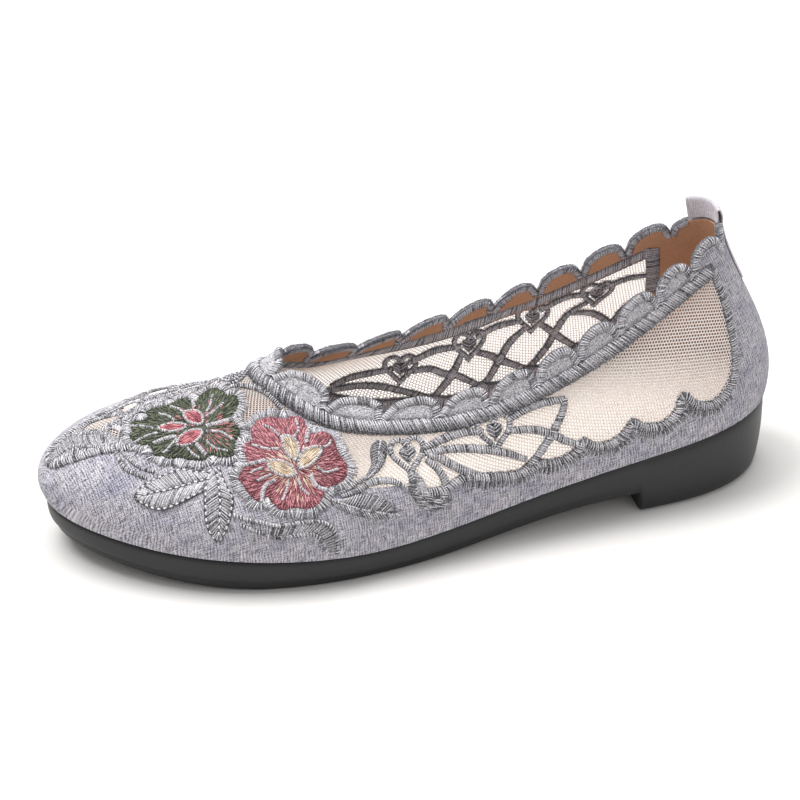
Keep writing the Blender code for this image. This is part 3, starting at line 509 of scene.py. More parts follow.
def noiseOf(tree, vector, scale, detail=2.0, stretch=(1.0, 1.0, 1.0)):
    moved = addNode(tree, "ShaderNodeMapping")
    tree.links.new(vector, moved.inputs["Vector"])
    moved.inputs["Scale"].default_value = stretch
    made = addNode(tree, "ShaderNodeTexNoise")
    tree.links.new(moved.outputs[0], made.inputs["Vector"])
    made.inputs["Scale"].default_value = scale
    made.inputs["Detail"].default_value = detail
    return made.outputs[0]


def newGroup(name, inputs, outputs):
    group = bpy.data.node_groups.new(name, "ShaderNodeTree")
    for label, kind, value in inputs:
        socket = group.interface.new_socket(label, in_out="INPUT", socket_type=kind)
        socket.default_value = value
    for label, kind in outputs:
        group.interface.new_socket(label, in_out="OUTPUT", socket_type=kind)
    return group, group.nodes.new("NodeGroupInput").outputs, group.nodes.new("NodeGroupOutput").inputs


# Plain weave on the cloth's own millimetres: thread bumps, slubs along both threads and soft smudges
def makeWeaveGroup():
    group, given, result = newGroup(
        "plainWeave",
        [(label, "NodeSocketFloat", 0.5) for label in ("Pitch", "Slub", "Smudge")],
        [(label, "NodeSocketFloat") for label in ("Tone", "Cloud", "Height")],
    )
    cloth = addNode(group, "ShaderNodeAttribute", attribute_name="cloth").outputs["Vector"]
    split = addNode(group, "ShaderNodeSeparateXYZ")
    group.links.new(cloth, split.inputs[0])
    wander = noiseOf(group, cloth, 0.35, 1.0)
    waves = []
    for axis in (0, 1):
        at = maths(group, "ADD", split.outputs[axis], maths(group, "MULTIPLY", wander, 1.6))
        turn = maths(group, "DIVIDE", maths(group, "MULTIPLY", at, math.pi), given["Pitch"])
        waves.append(maths(group, "SINE", turn))
    checks = maths(group, "MULTIPLY", waves[0], waves[1])
    warp = noiseOf(group, cloth, 1.0, 0.5, (3.0, 0.30, 1.0))
    weft = noiseOf(group, cloth, 1.0, 0.5, (0.30, 3.1, 1.0))
    slub = maths(group, "SUBTRACT", maths(group, "ADD", warp, weft), 1.0)
    speck = maths(group, "SUBTRACT", noiseOf(group, cloth, 1.7, 1.0), 0.5)
    tone = maths(group, "MULTIPLY_ADD", slub, given["Slub"], 0.5)
    tone = maths(group, "MULTIPLY_ADD", speck, maths(group, "MULTIPLY", given["Slub"], 0.6), tone)
    tone = maths(group, "MULTIPLY_ADD", checks, 0.22, tone)
    tone = maths(group, "MULTIPLY_ADD", waves[0], 0.2, tone)
    tone = maths(group, "MINIMUM", maths(group, "MAXIMUM", tone, 0.0), 1.0)
    group.links.new(tone, result["Tone"])
    cloud = maths(group, "SUBTRACT", noiseOf(group, cloth, 0.085, 5.0, (1.0, 1.6, 1.0)), 0.47)
    cloud = maths(group, "MULTIPLY", cloud, maths(group, "MULTIPLY", given["Smudge"], 5.0))
    cloud = maths(group, "MINIMUM", maths(group, "MAXIMUM", cloud, 0.0), 1.0)
    group.links.new(cloud, result["Cloud"])
    relief = maths(group, "MULTIPLY_ADD", slub, 0.9, maths(group, "MULTIPLY", checks, 0.5))
    group.links.new(relief, result["Height"])
    return group


# Tone of each laid thread, from the shade stored on its mesh, with fine specks that are partly the thread's
# twist and partly painted glints and painted shade
def makeThreadGroup():
    group, given, result = newGroup(
        "threadTone",
        [
            ("Dark", "NodeSocketColor", (0.1, 0.1, 0.1, 1.0)),
            ("Light", "NodeSocketColor", (0.8, 0.8, 0.8, 1.0)),
            ("Fleck", "NodeSocketFloat", 0.15),
        ],
        [("Color", "NodeSocketColor"), ("Roughness", "NodeSocketFloat")],
    )
    shade = addNode(group, "ShaderNodeAttribute", attribute_name="shade").outputs["Fac"]
    at = addNode(group, "ShaderNodeTexCoord").outputs["Object"]
    speckAndGlint = maths(group, "SUBTRACT", noiseOf(group, at, 900.0, 1.0), 0.5)
    fine = maths(group, "SUBTRACT", noiseOf(group, at, 2700.0, 0.0), 0.5)
    speckAndGlint = maths(group, "MULTIPLY_ADD", fine, 2.0, maths(group, "MULTIPLY", speckAndGlint, 0.4))
    share = maths(group, "MULTIPLY_ADD", speckAndGlint, given["Fleck"], shade)
    share = maths(group, "MINIMUM", maths(group, "MAXIMUM", share, 0.0), 1.0)
    group.links.new(blendColours(group, share, given["Dark"], given["Light"]), result["Color"])
    group.links.new(maths(group, "MULTIPLY_ADD", share, -0.12, 0.56), result["Roughness"])
    return group


# Short nap: fine speckle and wider rubbed patches
def makeNapGroup():
    group, given, result = newGroup(
        "softNap",
        [("Grain", "NodeSocketFloat", 600.0), ("Patch", "NodeSocketFloat", 45.0)],
        [("Tone", "NodeSocketFloat"), ("Height", "NodeSocketFloat")],
    )
    at = addNode(group, "ShaderNodeTexCoord").outputs["Object"]
    speckle = addNode(group, "ShaderNodeTexNoise")
    patches = addNode(group, "ShaderNodeTexNoise")
    for made, scale in ((speckle, given["Grain"]), (patches, given["Patch"])):
        group.links.new(at, made.inputs["Vector"])
        group.links.new(scale, made.inputs["Scale"])
    fine = maths(group, "MULTIPLY", speckle.outputs[0], 0.55)
    wide = maths(group, "MULTIPLY", patches.outputs[0], 0.45)
    group.links.new(maths(group, "ADD", fine, wide), result["Tone"])
    group.links.new(speckle.outputs[0], result["Height"])
    return group


weaveGroup, threadGroup, napGroup = makeWeaveGroup(), makeThreadGroup(), makeNapGroup()


def newFinish(name, roughness):
    material = bpy.data.materials.new(name)
    material.use_nodes = True
    shader = material.node_tree.nodes["Principled BSDF"]
    shader.inputs["Roughness"].default_value = roughness
    return material, material.node_tree, shader


def useGroup(tree, group, **values):
    made = addNode(tree, "ShaderNodeGroup", node_tree=group)
    for label, value in values.items():
        made.inputs[label].default_value = value
    return made.outputs


def addBump(tree, shader, height, strength, depth):
    bump = addNode(tree, "ShaderNodeBump")
    bump.inputs["Strength"].default_value = strength
    bump.inputs["Distance"].default_value = depth
    tree.links.new(height, bump.inputs["Height"])
    tree.links.new(bump.outputs[0], shader.inputs["Normal"])


def clothFinish(name, dark, light, pitch, slub, smudge, depth, stain=None, sheen=0.1):
    material, tree, shader = newFinish(name, 0.88)
    weave = useGroup(tree, weaveGroup, Pitch=pitch, Slub=slub, Smudge=smudge)
    colour = blendColours(tree, weave["Tone"], (*dark, 1.0), (*light, 1.0))
    if stain is not None:
        stained = addNode(tree, "ShaderNodeMix", data_type="RGBA", blend_type="MULTIPLY")
        feed(tree, stained.inputs[0], weave["Cloud"])
        feed(tree, stained.inputs[6], colour)
        feed(tree, stained.inputs[7], (*stain, 1.0))
        colour = stained.outputs[2]
    tree.links.new(colour, shader.inputs["Base Color"])
    addBump(tree, shader, weave["Height"], 0.6, depth)
    shader.inputs["Sheen Weight"].default_value = sheen
    shader.inputs["Specular IOR Level"].default_value = 0.2
    return material


def threadFinish(name, dark, light, speckAndGlint=0.34):
    material, tree, shader = newFinish(name, 0.5)
    tone = useGroup(tree, threadGroup, Dark=(*dark, 1.0), Light=(*light, 1.0), Fleck=speckAndGlint)
    tree.links.new(tone["Color"], shader.inputs["Base Color"])
    tree.links.new(tone["Roughness"], shader.inputs["Roughness"])
    shader.inputs["Specular IOR Level"].default_value = 0.5
    return material


def napFinish(name, dark, light, grain, patch, roughness, depth, specular=0.3):
    material, tree, shader = newFinish(name, roughness)
    nap = useGroup(tree, napGroup, Grain=grain, Patch=patch)
    tree.links.new(blendColours(tree, nap["Tone"], (*dark, 1.0), (*light, 1.0)), shader.inputs["Base Color"])
    addBump(tree, shader, nap["Height"], 0.5, depth)
    shader.inputs["Specular IOR Level"].default_value = specular
    return material


finishes = {
    "linen": clothFinish(
        "linen", (0.12, 0.115, 0.135), (0.62, 0.595, 0.645), 0.46, 1.35, 0.6, 0.0003, (0.62, 0.64, 0.76)
    ),
    "lining": napFinish("lining", (0.29, 0.142, 0.078), (0.60, 0.335, 0.21), 1400.0, 60.0, 0.95, 0.0002),
    "net": threadFinish("net", (0.42, 0.33, 0.28), (0.92, 0.83, 0.785), 0.06),
    "insole": clothFinish("insole", (0.66, 0.57, 0.50), (0.90, 0.83, 0.77), 0.5, 0.5, 0.3, 0.0001),
    "rubber": napFinish(
        "rubber", (0.007, 0.0072, 0.0078), (0.020, 0.0205, 0.022), 1100.0, 40.0, 0.44, 0.00006, 0.4
    ),
    "tape": clothFinish("tape", (0.36, 0.335, 0.37), (0.72, 0.68, 0.73), 0.45, 0.7, 0.3, 0.0001),
    "greyThread": threadFinish("greyThread", (0.020, 0.020, 0.027), (0.98, 0.955, 1.0), 0.48),
    "backThread": threadFinish("backThread", (0.060, 0.060, 0.070), (0.86, 0.85, 0.93), 0.45),
    "redThread": threadFinish("redThread", (0.13, 0.022, 0.036), (0.82, 0.36, 0.40), 0.45),
    "greenThread": threadFinish("greenThread", (0.010, 0.014, 0.009), (0.21, 0.24, 0.15)),
    "pinkThread": threadFinish("pinkThread", (0.20, 0.03, 0.045), (0.86, 0.33, 0.36)),
    "creamThread": threadFinish("creamThread", (0.40, 0.28, 0.18), (0.95, 0.83, 0.67)),
}
softNet = finishes["net"].node_tree.nodes["Principled BSDF"]
softNet.inputs["Specular IOR Level"].default_value = 0.25
softNet.inputs["Subsurface Weight"].default_value = 0.6
softNet.inputs["Subsurface Scale"].default_value = 0.0012
softNet.inputs["Subsurface Radius"].default_value = (1.0, 0.9, 0.85)
print("finishes made:", len(finishes))

# Flat triangulation of outlines, then a closed sheet between two distances from the wall's face
patternScale = np.array([loopLength, 45.0])


def triangulate(outlines, grain, holds):
    points, edges = [], []
    for outline in outlines:
        first = len(points)
        points += [tuple(p) for p in outline]
        edges += [(first + i, first + (i + 1) % len(outline)) for i in range(len(outline))]
    rim = np.array(points)
    low, top = rim.min(axis=0), rim.max(axis=0)
    gx = np.arange(low[0] + grain / 2, top[0], grain)
    gy = np.arange(low[1] + grain / 2, top[1], grain)
    grid = np.stack(np.meshgrid(gx, gy), axis=-1).reshape(-1, 2)
    grid[:, 0] += np.where(np.round(grid[:, 1] / grain) % 2 == 0, 0.0, grain / 2)
    grid = grid[holds(grid)]
    for start in range(0, len(rim), 100):
        clear = np.linalg.norm(grid[:, None] - rim[None, start : start + 100], axis=2).min(axis=1)
        grid = grid[clear > grain * 0.5]
    made = delaunay_2d_cdt([Vector(p) for p in points] + [Vector(p) for p in grid], edges, [], 0, 1e-4)
    places = np.array([tuple(p) for p in made[0]])
    triangles = np.array([tuple(f) for f in made[2]])
    corner = places[triangles]
    ab, ac = corner[:, 1] - corner[:, 0], corner[:, 2] - corner[:, 0]
    area = ab[:, 0] * ac[:, 1] - ab[:, 1] * ac[:, 0]
    triangles[area < 0] = triangles[area < 0][:, ::-1]
    return places, triangles[holds(corner.mean(axis=1)) & (np.abs(area) > 1e-6)]


def closeSheet(outer, inner, triangles):
    count = len(outer)
    sides = np.vstack([triangles[:, [0, 1]], triangles[:, [1, 2]], triangles[:, [2, 0]]])
    known = {(int(a), int(b)) for a, b in sides}
    rim = np.array([(b, a, a + count, b + count) for a, b in known if (b, a) not in known])
    return np.vstack([outer, inner]), [triangles, triangles[:, ::-1] + count, rim]


def cutPanel(paint, grain, seam=False):
    flat = [(outline * patternScale, kept) for outline, kept in paint]

    def holds(points):
        state = np.zeros(len(points), bool)
        for outline, kept in flat:
            state[within(outline, points)] = kept
        return state

    places, triangles = triangulate([outline for outline, _ in flat], grain, holds)
    if seam:
        home = {round(p[1], 2): i for i, p in enumerate(places) if abs(p[0]) < 1e-3}
        for i, p in enumerate(places):
            if abs(p[0] - loopLength) < 1e-3:
                triangles[triangles == i] = home[round(p[1], 2)]
    used, triangles = np.unique(triangles, return_inverse=True)
    return places[used] / patternScale, triangles.reshape(-1, 3)[:, ::-1]


def panelPiece(name, cut, outside, inside, materials, numbers=(0, 0, 0), sharp=40.0):
    uv, triangles = cut
    point, outward = wallFrame(uv[:, 0], uv[:, 1])
    outside = np.broadcast_to(outside, len(uv))[:, None]
    inside = np.broadcast_to(inside, len(uv))[:, None]
    points, groups = closeSheet(point + outward * outside, point + outward * inside, triangles)
    number = np.concatenate([np.full(len(g), n) for g, n in zip(groups, numbers)])
    cloth = clothAt(uv[:, 0], uv[:, 1])
    return makePiece(name, points, groups, materials, number, cloth=np.vstack([cloth, cloth]), sharp=sharp)


# Stitches: every thread is a small closed strand laid over the wall, joined into one mesh a piece
# painted shade at the sides of every thread: the share of its tone a thread keeps there
sideShade = 0.28  # how much of its tone a thread keeps at its sides
threadPitch = 0.42  # mm from thread to thread


def newWork():
    return {"points": [], "quads": [], "tris": [], "shade": [], "quadNumber": [], "triNumber": [], "count": 0}


def addMesh(work, points, quads, tris, shade, number):
    work["points"].append(points)
    work["quads"].append(quads + work["count"])
    work["tris"].append(tris + work["count"])
    work["shade"].append(shade)
    work["quadNumber"].append(np.full(len(quads), number))
    work["triNumber"].append(np.full(len(tris), number))
    work["count"] += len(points)


def addStrands(
    work, start, end, width, rise, shade, number=0, lift=0.0, depth=0.0, stations=5, paintedLightAlong=(1.0, 1.0)
):
    n = len(start)
    if n == 0:
        return
    side = -1.0 if depth > 0.0 else 1.0  # a depth puts the strands on the inner face
    t = 0.5 - 0.5 * np.cos(np.linspace(0.0, math.pi, stations))
    arch = np.clip(1.0 - (2.0 * t - 1.0) ** 2, 0.0, 1.0) ** 0.5

    def spread(value):
        return np.broadcast_to(np.asarray(value, float), n)[:, None]

    uv = start[:, None] * (1.0 - t)[None, :, None] + end[:, None] * t[None, :, None]
    point, outward = wallFrame(uv[..., 0].ravel(), uv[..., 1].ravel())
    point = (point - outward * depth).reshape(n, stations, 3)
    normal = side * outward.reshape(n, stations, 3)
    ahead = np.gradient(point, axis=1)
    across = np.cross(normal, ahead)
    across /= np.maximum(np.linalg.norm(across, axis=2, keepdims=True), 1e-9)
    half = 0.5 * spread(width) * (0.4 + 0.6 * np.sqrt(arch))[None]
    ridge = point + normal * (spread(lift) + spread(rise) * arch[None])[..., None]
    sunk = ridge - normal * (half * 0.9)[..., None]
    rings = np.stack([sunk - across * half[..., None], ridge, sunk + across * half[..., None]], axis=2)
    first = (np.arange(n) * stations * 3)[:, None, None]
    a = first + (np.arange(stations - 1) * 3)[None, :, None] + np.arange(3)[None, None]
    b = first + (np.arange(stations - 1) * 3)[None, :, None] + (np.arange(3) + 1)[None, None] % 3
    quads = np.stack([a, a + 3, b + 3, b], axis=-1).reshape(-1, 4)
    tail = first[:, 0, 0] + (stations - 1) * 3
    head = first[:, 0, 0]
    tris = np.vstack([np.stack([head, head + 1, head + 2], 1), np.stack([tail + 2, tail + 1, tail], 1)])
    tone = np.repeat(np.broadcast_to(np.asarray(shade, float), n), stations * 3).reshape(n, stations, 3)
    # painted shade towards the ends of each thread, and a painted highlight running to painted shade from its
    # start to its end by the given pair
    along = (paintedLightAlong[0] + (paintedLightAlong[1] - paintedLightAlong[0]) * t) * (0.75 + 0.25 * arch)
    tone = tone * np.array([sideShade, 1.0, sideShade]) * along[None, :, None]
    addMesh(work, rings.reshape(-1, 3), quads, tris, tone.ravel(), number)


# Padding under a row of stitches: a low closed tube along a line, dark by default as painted shade where it
# shows between the threads
def addPadding(work, line, half, rise, depth, number=0, closed=False, shade=0.03):
    point, outward = wallFrame(line[:, 0], line[:, 1])
    ahead = np.roll(point, -1, 0) - np.roll(point, 1, 0) if closed else np.gradient(point, axis=0)
    across = np.cross(outward, ahead)
    across /= np.linalg.norm(across, axis=1, keepdims=True)
    half = np.broadcast_to(half, len(line))
    section = [(-0.94, 0.02), (-0.6, 0.72), (0.0, 0.9), (0.6, 0.72), (0.94, 0.02)]
    rings = [point + across * (half * s)[:, None] + outward * (rise * h) for s, h in section]
    rings += [point + across * (half * s)[:, None] - outward * depth for s in (0.9, 0.0, -0.9)]
    rings = np.stack(rings, axis=1)
    n, m = rings.shape[:2]
    index = np.arange(n * m).reshape(n, m)
    here, there = (index, np.roll(index, -1, 0)) if closed else (index[:-1], index[1:])
    hereBeside, thereBeside = np.roll(here, -1, axis=1), np.roll(there, -1, axis=1)
    quads = np.stack([here, there, thereBeside, hereBeside], axis=-1).reshape(-1, 4)
    tris = np.zeros((0, 3), int)
    if not closed:
        fan = np.array([(0, i, i + 1) for i in range(1, m - 1)])
        tris = np.vstack([index[0][fan], index[-1][fan[:, ::-1]]])
    addMesh(work, rings.reshape(-1, 3), quads, tris, np.full(n * m, shade), number)


# A smooth closed sheet under or between stitches, from a height above the wall's face to a depth below it
def addGround(work, paint, grain, high, low, shade, number):
    uv, triangles = cutPanel(paint, grain)
    point, outward = wallFrame(uv[:, 0], uv[:, 1])
    points, groups = closeSheet(point + outward * high, point - outward * low, triangles)
    addMesh(work, points, groups[2], np.vstack(groups[:2]), np.full(len(points), shade), number)


# Tone of each thread in a row: slow drift, quick change, and a dark one now and then; partly the threads' own
# random tone, partly painted highlight on the bright ones and painted shade on the dark ones standing for
# gaps
def streaks(count, low, high, reach=9):
    wide = np.convolve(rng.uniform(-1.0, 1.0, count + reach), np.ones(reach) / reach, "valid")[:count]
    beat = np.where(np.arange(count) % 2 == 0, rng.uniform(0.0, 0.3, count), rng.uniform(0.5, 1.2, count))
    tone = high - (high - low) * (beat + 0.2 * wide)
    tone = np.where(rng.uniform(0, 1, count) < 0.13, 0.3 * tone, tone)
    return np.clip(tone, 0.02, 1.0)


# A row of satin stitches across a line, padded, with a flatter row on the inner face where that shows
def satin(
    work, line, width, rise, pitch=threadPitch, slant=0.6, ragged=0.15, depth=0.35, back=None, closed=False,
    shades=(0.2, 1.0), number=0, stations=5, padNumber=None, paintedLightAlong=(1.0, 1.0)
):
    middle = evenly(line, pitch, closed)
    count = len(middle)
    half = np.broadcast_to(width, count) * 0.5
    left = sideways(middle, half + rng.uniform(-ragged, ragged, count), closed)
    right = sideways(middle, -half - rng.uniform(-ragged, ragged, count), closed)
    step = int(round(slant / pitch))
    if closed:
        start, end = np.roll(left, -step, axis=0), right
    else:
        start, end = left[step:], right[: count - step]
    n = len(start)
    padding = evenly(line, 1.1, closed)
    padHalf = np.interp(np.linspace(0, 1, len(padding)), np.linspace(0, 1, count), half)
    addPadding(work, padding, padHalf, rise * 0.8, depth, number if padNumber is None else padNumber, closed)
    addStrands(
        work, start, end, pitch * rng.uniform(0.85, 1.25, n), rise * rng.uniform(0.82, 1.2, n),
        streaks(n, *shades), number, lift=0.12, stations=stations, paintedLightAlong=paintedLightAlong,
    )
    if back is not None:
        addStrands(
            work, 0.9 * start + 0.1 * end, 0.1 * start + 0.9 * end, pitch * rng.uniform(0.95, 1.3, n),
            rng.uniform(0.2, 0.4, n), streaks(n, 0.42, 1.0), back, lift=0.1, depth=depth, stations=4,
        )


# A flat shape filled with threads at an angle, in mm from a pattern place
def fillShape(
    work, centre, outline, angle, pitch, rise, shades, number=0, lift=0.1, longest=5.0, ragged=0.15,
    depth=0.0, openings=()
):
    turn = math.radians(angle)
    spin = np.array([[math.cos(turn), math.sin(turn)], [-math.sin(turn), math.cos(turn)]])
    loops = [np.asarray(loop, float) @ spin.T for loop in (outline, *openings)]
    flat = np.vstack(loops)
    after = np.vstack([np.roll(loop, -1, axis=0) for loop in loops])
    begin, finish = [], []
    for y in np.arange(flat[:, 1].min() + pitch * 0.5, flat[:, 1].max(), pitch):
        hit = (flat[:, 1] > y) != (after[:, 1] > y)
        share = (y - flat[hit, 1]) / (after[hit, 1] - flat[hit, 1])
        xs = np.sort(flat[hit, 0] + share * (after[hit, 0] - flat[hit, 0]))
        for x0, x1 in zip(xs[::2], xs[1::2]):
            parts = max(1, int(math.ceil((x1 - x0) / longest)))
            cuts = np.linspace(x0, x1, parts + 1)
            cuts[1:-1] += rng.uniform(-0.3, 0.3, parts - 1) * (x1 - x0) / parts
            for c0, c1 in zip(cuts[:-1], cuts[1:]):
                begin.append((c0 - rng.uniform(0, ragged) - 0.2, y + rng.uniform(-0.1, 0.1)))
                finish.append((c1 + rng.uniform(0, ragged) + 0.2, y + rng.uniform(-0.1, 0.1)))
    start, end = (motif(centre, np.array(ends) @ spin) for ends in (begin, finish))
    n = len(start)
    addStrands(
        work, start, end, pitch * rng.uniform(0.9, 1.3, n), rise * rng.uniform(0.7, 1.3, n),
        streaks(n, *shades, 3), number, lift=lift + rng.uniform(0.0, 0.1, n), depth=depth,
    )


# Small knots along a line, over a dark tube that shows between them as painted shade
def addKnots(work, line, pitch, size, shades, number=0, lift=0.3):
    parts, taken = 8, 5  # a knot takes five of the eight parts of a pitch
    at = evenly(line, pitch / parts)
    start, end = at[:-taken:parts], at[taken::parts]
    n = min(len(start), len(end))
    addPadding(work, evenly(line, 0.9), size * 0.75, lift + 0.2, 0.1, number, shade=0.0)
    addStrands(
        work, start[:n], end[:n], size * rng.uniform(0.85, 1.15, n), size * 0.55, rng.uniform(*shades, n),
        number, lift,
    )


def stitchPiece(work, name, materials):
    groups = [np.vstack(work["quads"]), np.vstack(work["tris"])]
    numbers = np.concatenate(work["quadNumber"] + work["triNumber"])
    shade = np.concatenate(work["shade"])
    piece = makePiece(name, np.vstack(work["points"]), groups, materials, numbers, shade)
    print(name, "stitched:", 2 * len(groups[0]) + len(groups[1]), "triangles")
    return piece


greyWork = [finishes["greyThread"], finishes["backThread"]]

# Linen upper and its lining
upper = {
    "linenThick": 0.8,
    "liningGap": 0.06,
    "wall": 1.4,
    "grain": 1.7,
    "soleSteps": 220,
    "seamSteps": 40,
    "scallopSteps": 16,
    "linenDrop": 0.3,
    "liningDrop": 1.3,
}


def upperOutline(drop):
    base = np.linspace(0.0, 1.0, upper["soleSteps"] + 1)
    low = np.column_stack([base, np.zeros(len(base))])
    rear = np.linspace(0.03, 0.985, upper["seamSteps"])
    start = np.column_stack([np.zeros(len(rear)), rear])
    end = np.column_stack([np.ones(len(rear)), rear])
    share = np.linspace(0.0, 1.0, upper["scallopSteps"] + 1)[:-1]
    half = np.linspace(0.0, 1.0, 9)[:-1]
    outer, inner = halfScallop("outer", half), halfScallop("inner", half)
    whole = [a + (b - a) * share for a, b in scallops]
    distance = np.concatenate([outer[0]] + whole + [valleys[-1:], inner[0][::-1]])
    arches = np.tile(scallopArch(share, collar["scallopRise"]), len(scallops))
    height = np.concatenate([outer[1], arches, [0.0], inner[1][::-1]]) - drop
    edge = collarAt(distance, height)
    ends = np.array([0.0, 1.6, collar["heelTo"], collar["heelFrom"], 342.0, 346.5, collarLength])
    back = collarAt(np.minimum(ends, collarLength - 1e-6), np.full(7, collar["heelRise"]))
    back[0, 0] = 0.0
    back[6] = (1.0, back[0, 1])
    top = np.vstack([back[:3], edge, back[3:]])
    return np.vstack([low, end, top[::-1], start[::-1]])


# Soft troughs where the cloth gives: (round, up, half width round, half width up, depth)
creases = {
    "heelHollow": (25.0, 50.0, 8.0, 26.0, 0.4),
    "quarterPull": (62.0, 10.0, 16.0, 8.0, 0.35),
    "ballFold": (150.0, 16.0, 12.0, 9.0, 0.45),
    "toeDimple": (232.0, 22.0, 16.0, 12.0, 0.4),
    "toeCrown": (262.0, 20.0, 14.0, 12.0, -0.35),
    "innerWaist": (455.0, 6.0, 18.0, 5.0, 0.3),
    "heelInner": (516.0, 46.0, 9.0, 26.0, 0.45),
    "backSeam": (0.0, 40.0, 0.8, 60.0, 0.3),
    "backSeamTwin": (549.86, 40.0, 0.8, 60.0, 0.3),
}


def creaseDepth(uv):
    depth = np.zeros(len(uv))
    for across, up, wide, tall, deep in creases.values():
        off = ((uv[:, 0] * loopLength - across) / wide) ** 2 + ((uv[:, 1] * 100.0 - up) / tall) ** 2
        depth += deep * np.exp(-off)
    return depth


upperPaint = [(upperOutline(upper["linenDrop"]), True), (windowOutline(), False)]
upperCut = cutPanel(upperPaint, upper["grain"], True)
dents = creaseDepth(upperCut[0])
linenPiece = panelPiece("upperLinen", upperCut, -dents, -dents - upper["linenThick"], [finishes["linen"]])
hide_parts("upper")
liningPaint = [(upperOutline(upper["liningDrop"]), True), (windowOutline(), False)]
liningCut = cutPanel(liningPaint, upper["grain"], True)
dents = creaseDepth(liningCut[0])
liningTop = -dents - upper["linenThick"] - upper["liningGap"]
panelPiece("upperLining", liningCut, liningTop, -upper["wall"] - dents, [finishes["lining"]])
print("upper cut:", len(upperCut[1]), "triangles a face")

# Net window: six-sided holes down columns along the wall
net = {
    "pitch": 1.12,
    "hole": 0.60,
    "front": 0.0,
    "middle": -0.2,
    "back": -0.42,
    "tone": 0.75,
    "upFacingShade": 0.27,
    "reachUp": 95.0,
}


def netCells(side):
    outline = windowOutline(0.6)
    column = net["pitch"] * math.sqrt(3.0) / 2.0
    columns, rows = np.arange(int(tableRound[-1] / column)), np.arange(2, int(net["reachUp"] / net["pitch"]))
    i, j = (grid.ravel() for grid in np.meshgrid(columns, rows, indexing="ij"))
    x, y = 3 * i, 2 * j + i % 2
    uv = netUv(x, y)
    onOuter = uv[:, 0] < 0.5
    keep = within(outline, uv) & (onOuter if side == "outer" else ~onOuter)
    return x[keep], y[keep]


# Whole numbers on the net's lattice to places on the wall
def netUv(x, y):
    across = np.asarray(x, float) * net["pitch"] / (2.0 * math.sqrt(3.0))
    down = np.asarray(y, float) * net["pitch"] / 2.0
    u = np.interp(across, tableRound, tableU)
    return np.stack([u, 1.0 - down / np.interp(u, tableU, tableRib)], axis=1)


def buildNet(name, side):
    x, y = netCells(side)
    hexX, hexY = np.array([2, 1, -1, -2, -1, 1]), np.array([0, 1, 1, 0, -1, -1])
    cornerX, cornerY = x[:, None] + hexX, y[:, None] + hexY
    keys = np.stack([cornerX.ravel(), cornerY.ravel()], axis=1)
    unique, corner = np.unique(keys, axis=0, return_inverse=True)
    corner = corner.reshape(-1, 6)
    holeUv = netUv((x[:, None] + hexX * net["hole"]).ravel(), (y[:, None] + hexY * net["hole"]).ravel())
    cornerUv = netUv(unique[:, 0], unique[:, 1])
    cornerPoint, cornerOut = wallFrame(cornerUv[:, 0], cornerUv[:, 1])
    holePoint, holeOut = wallFrame(holeUv[:, 0], holeUv[:, 1])
    points = np.vstack([
        cornerPoint + cornerOut * net["front"],
        cornerPoint + cornerOut * net["back"],
        holePoint + holeOut * net["middle"],
    ])
    total = len(unique)
    hole = 2 * total + np.arange(len(x) * 6).reshape(-1, 6)
    nextCorner, nextHole = np.roll(corner, -1, axis=1), np.roll(hole, -1, axis=1)
    front = np.stack([corner, hole, nextHole, nextCorner], axis=-1).reshape(-1, 4)
    back = np.stack([corner + total, nextCorner + total, nextHole, hole], axis=-1).reshape(-1, 4)
    edges = np.stack([corner, nextCorner], axis=-1).reshape(-1, 2)
    known = {(int(a), int(b)) for a, b in edges}
    rim = np.array([(a, b, b + total, a + total) for a, b in known if (b, a) not in known])
    # net that faces up gets a lower shade: painted shade that evens out the stronger light from above
    level = np.concatenate([cornerOut[:, 2], cornerOut[:, 2], holeOut[:, 2]])
    shade = net["tone"] - net["upFacingShade"] * ease((level - 0.5) / 0.4)
    piece = makePiece(name, points, [front, back, rim], [finishes["net"]], shade=shade)
    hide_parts("mesh_panel")
    print(name, "knitted:", len(x), "holes")


buildNet("netOuter", "outer")
buildNet("netInner", "inner")

# Collar: a cord under the opening and an arched edge round every scallop
collarStitch = {
    "cordRise": 1.25,
    "cordSlant": 2.2,
    "edgeRise": 0.95,
    "edgeSlant": 0.7,
    "pitch": threadPitch,
    "footHeight": -2.6,
    "footIn": 0.6,
    "filledMoons": range(1, 12),
    "firstThreaded": 9,
    "moonTone": 0.38,
}


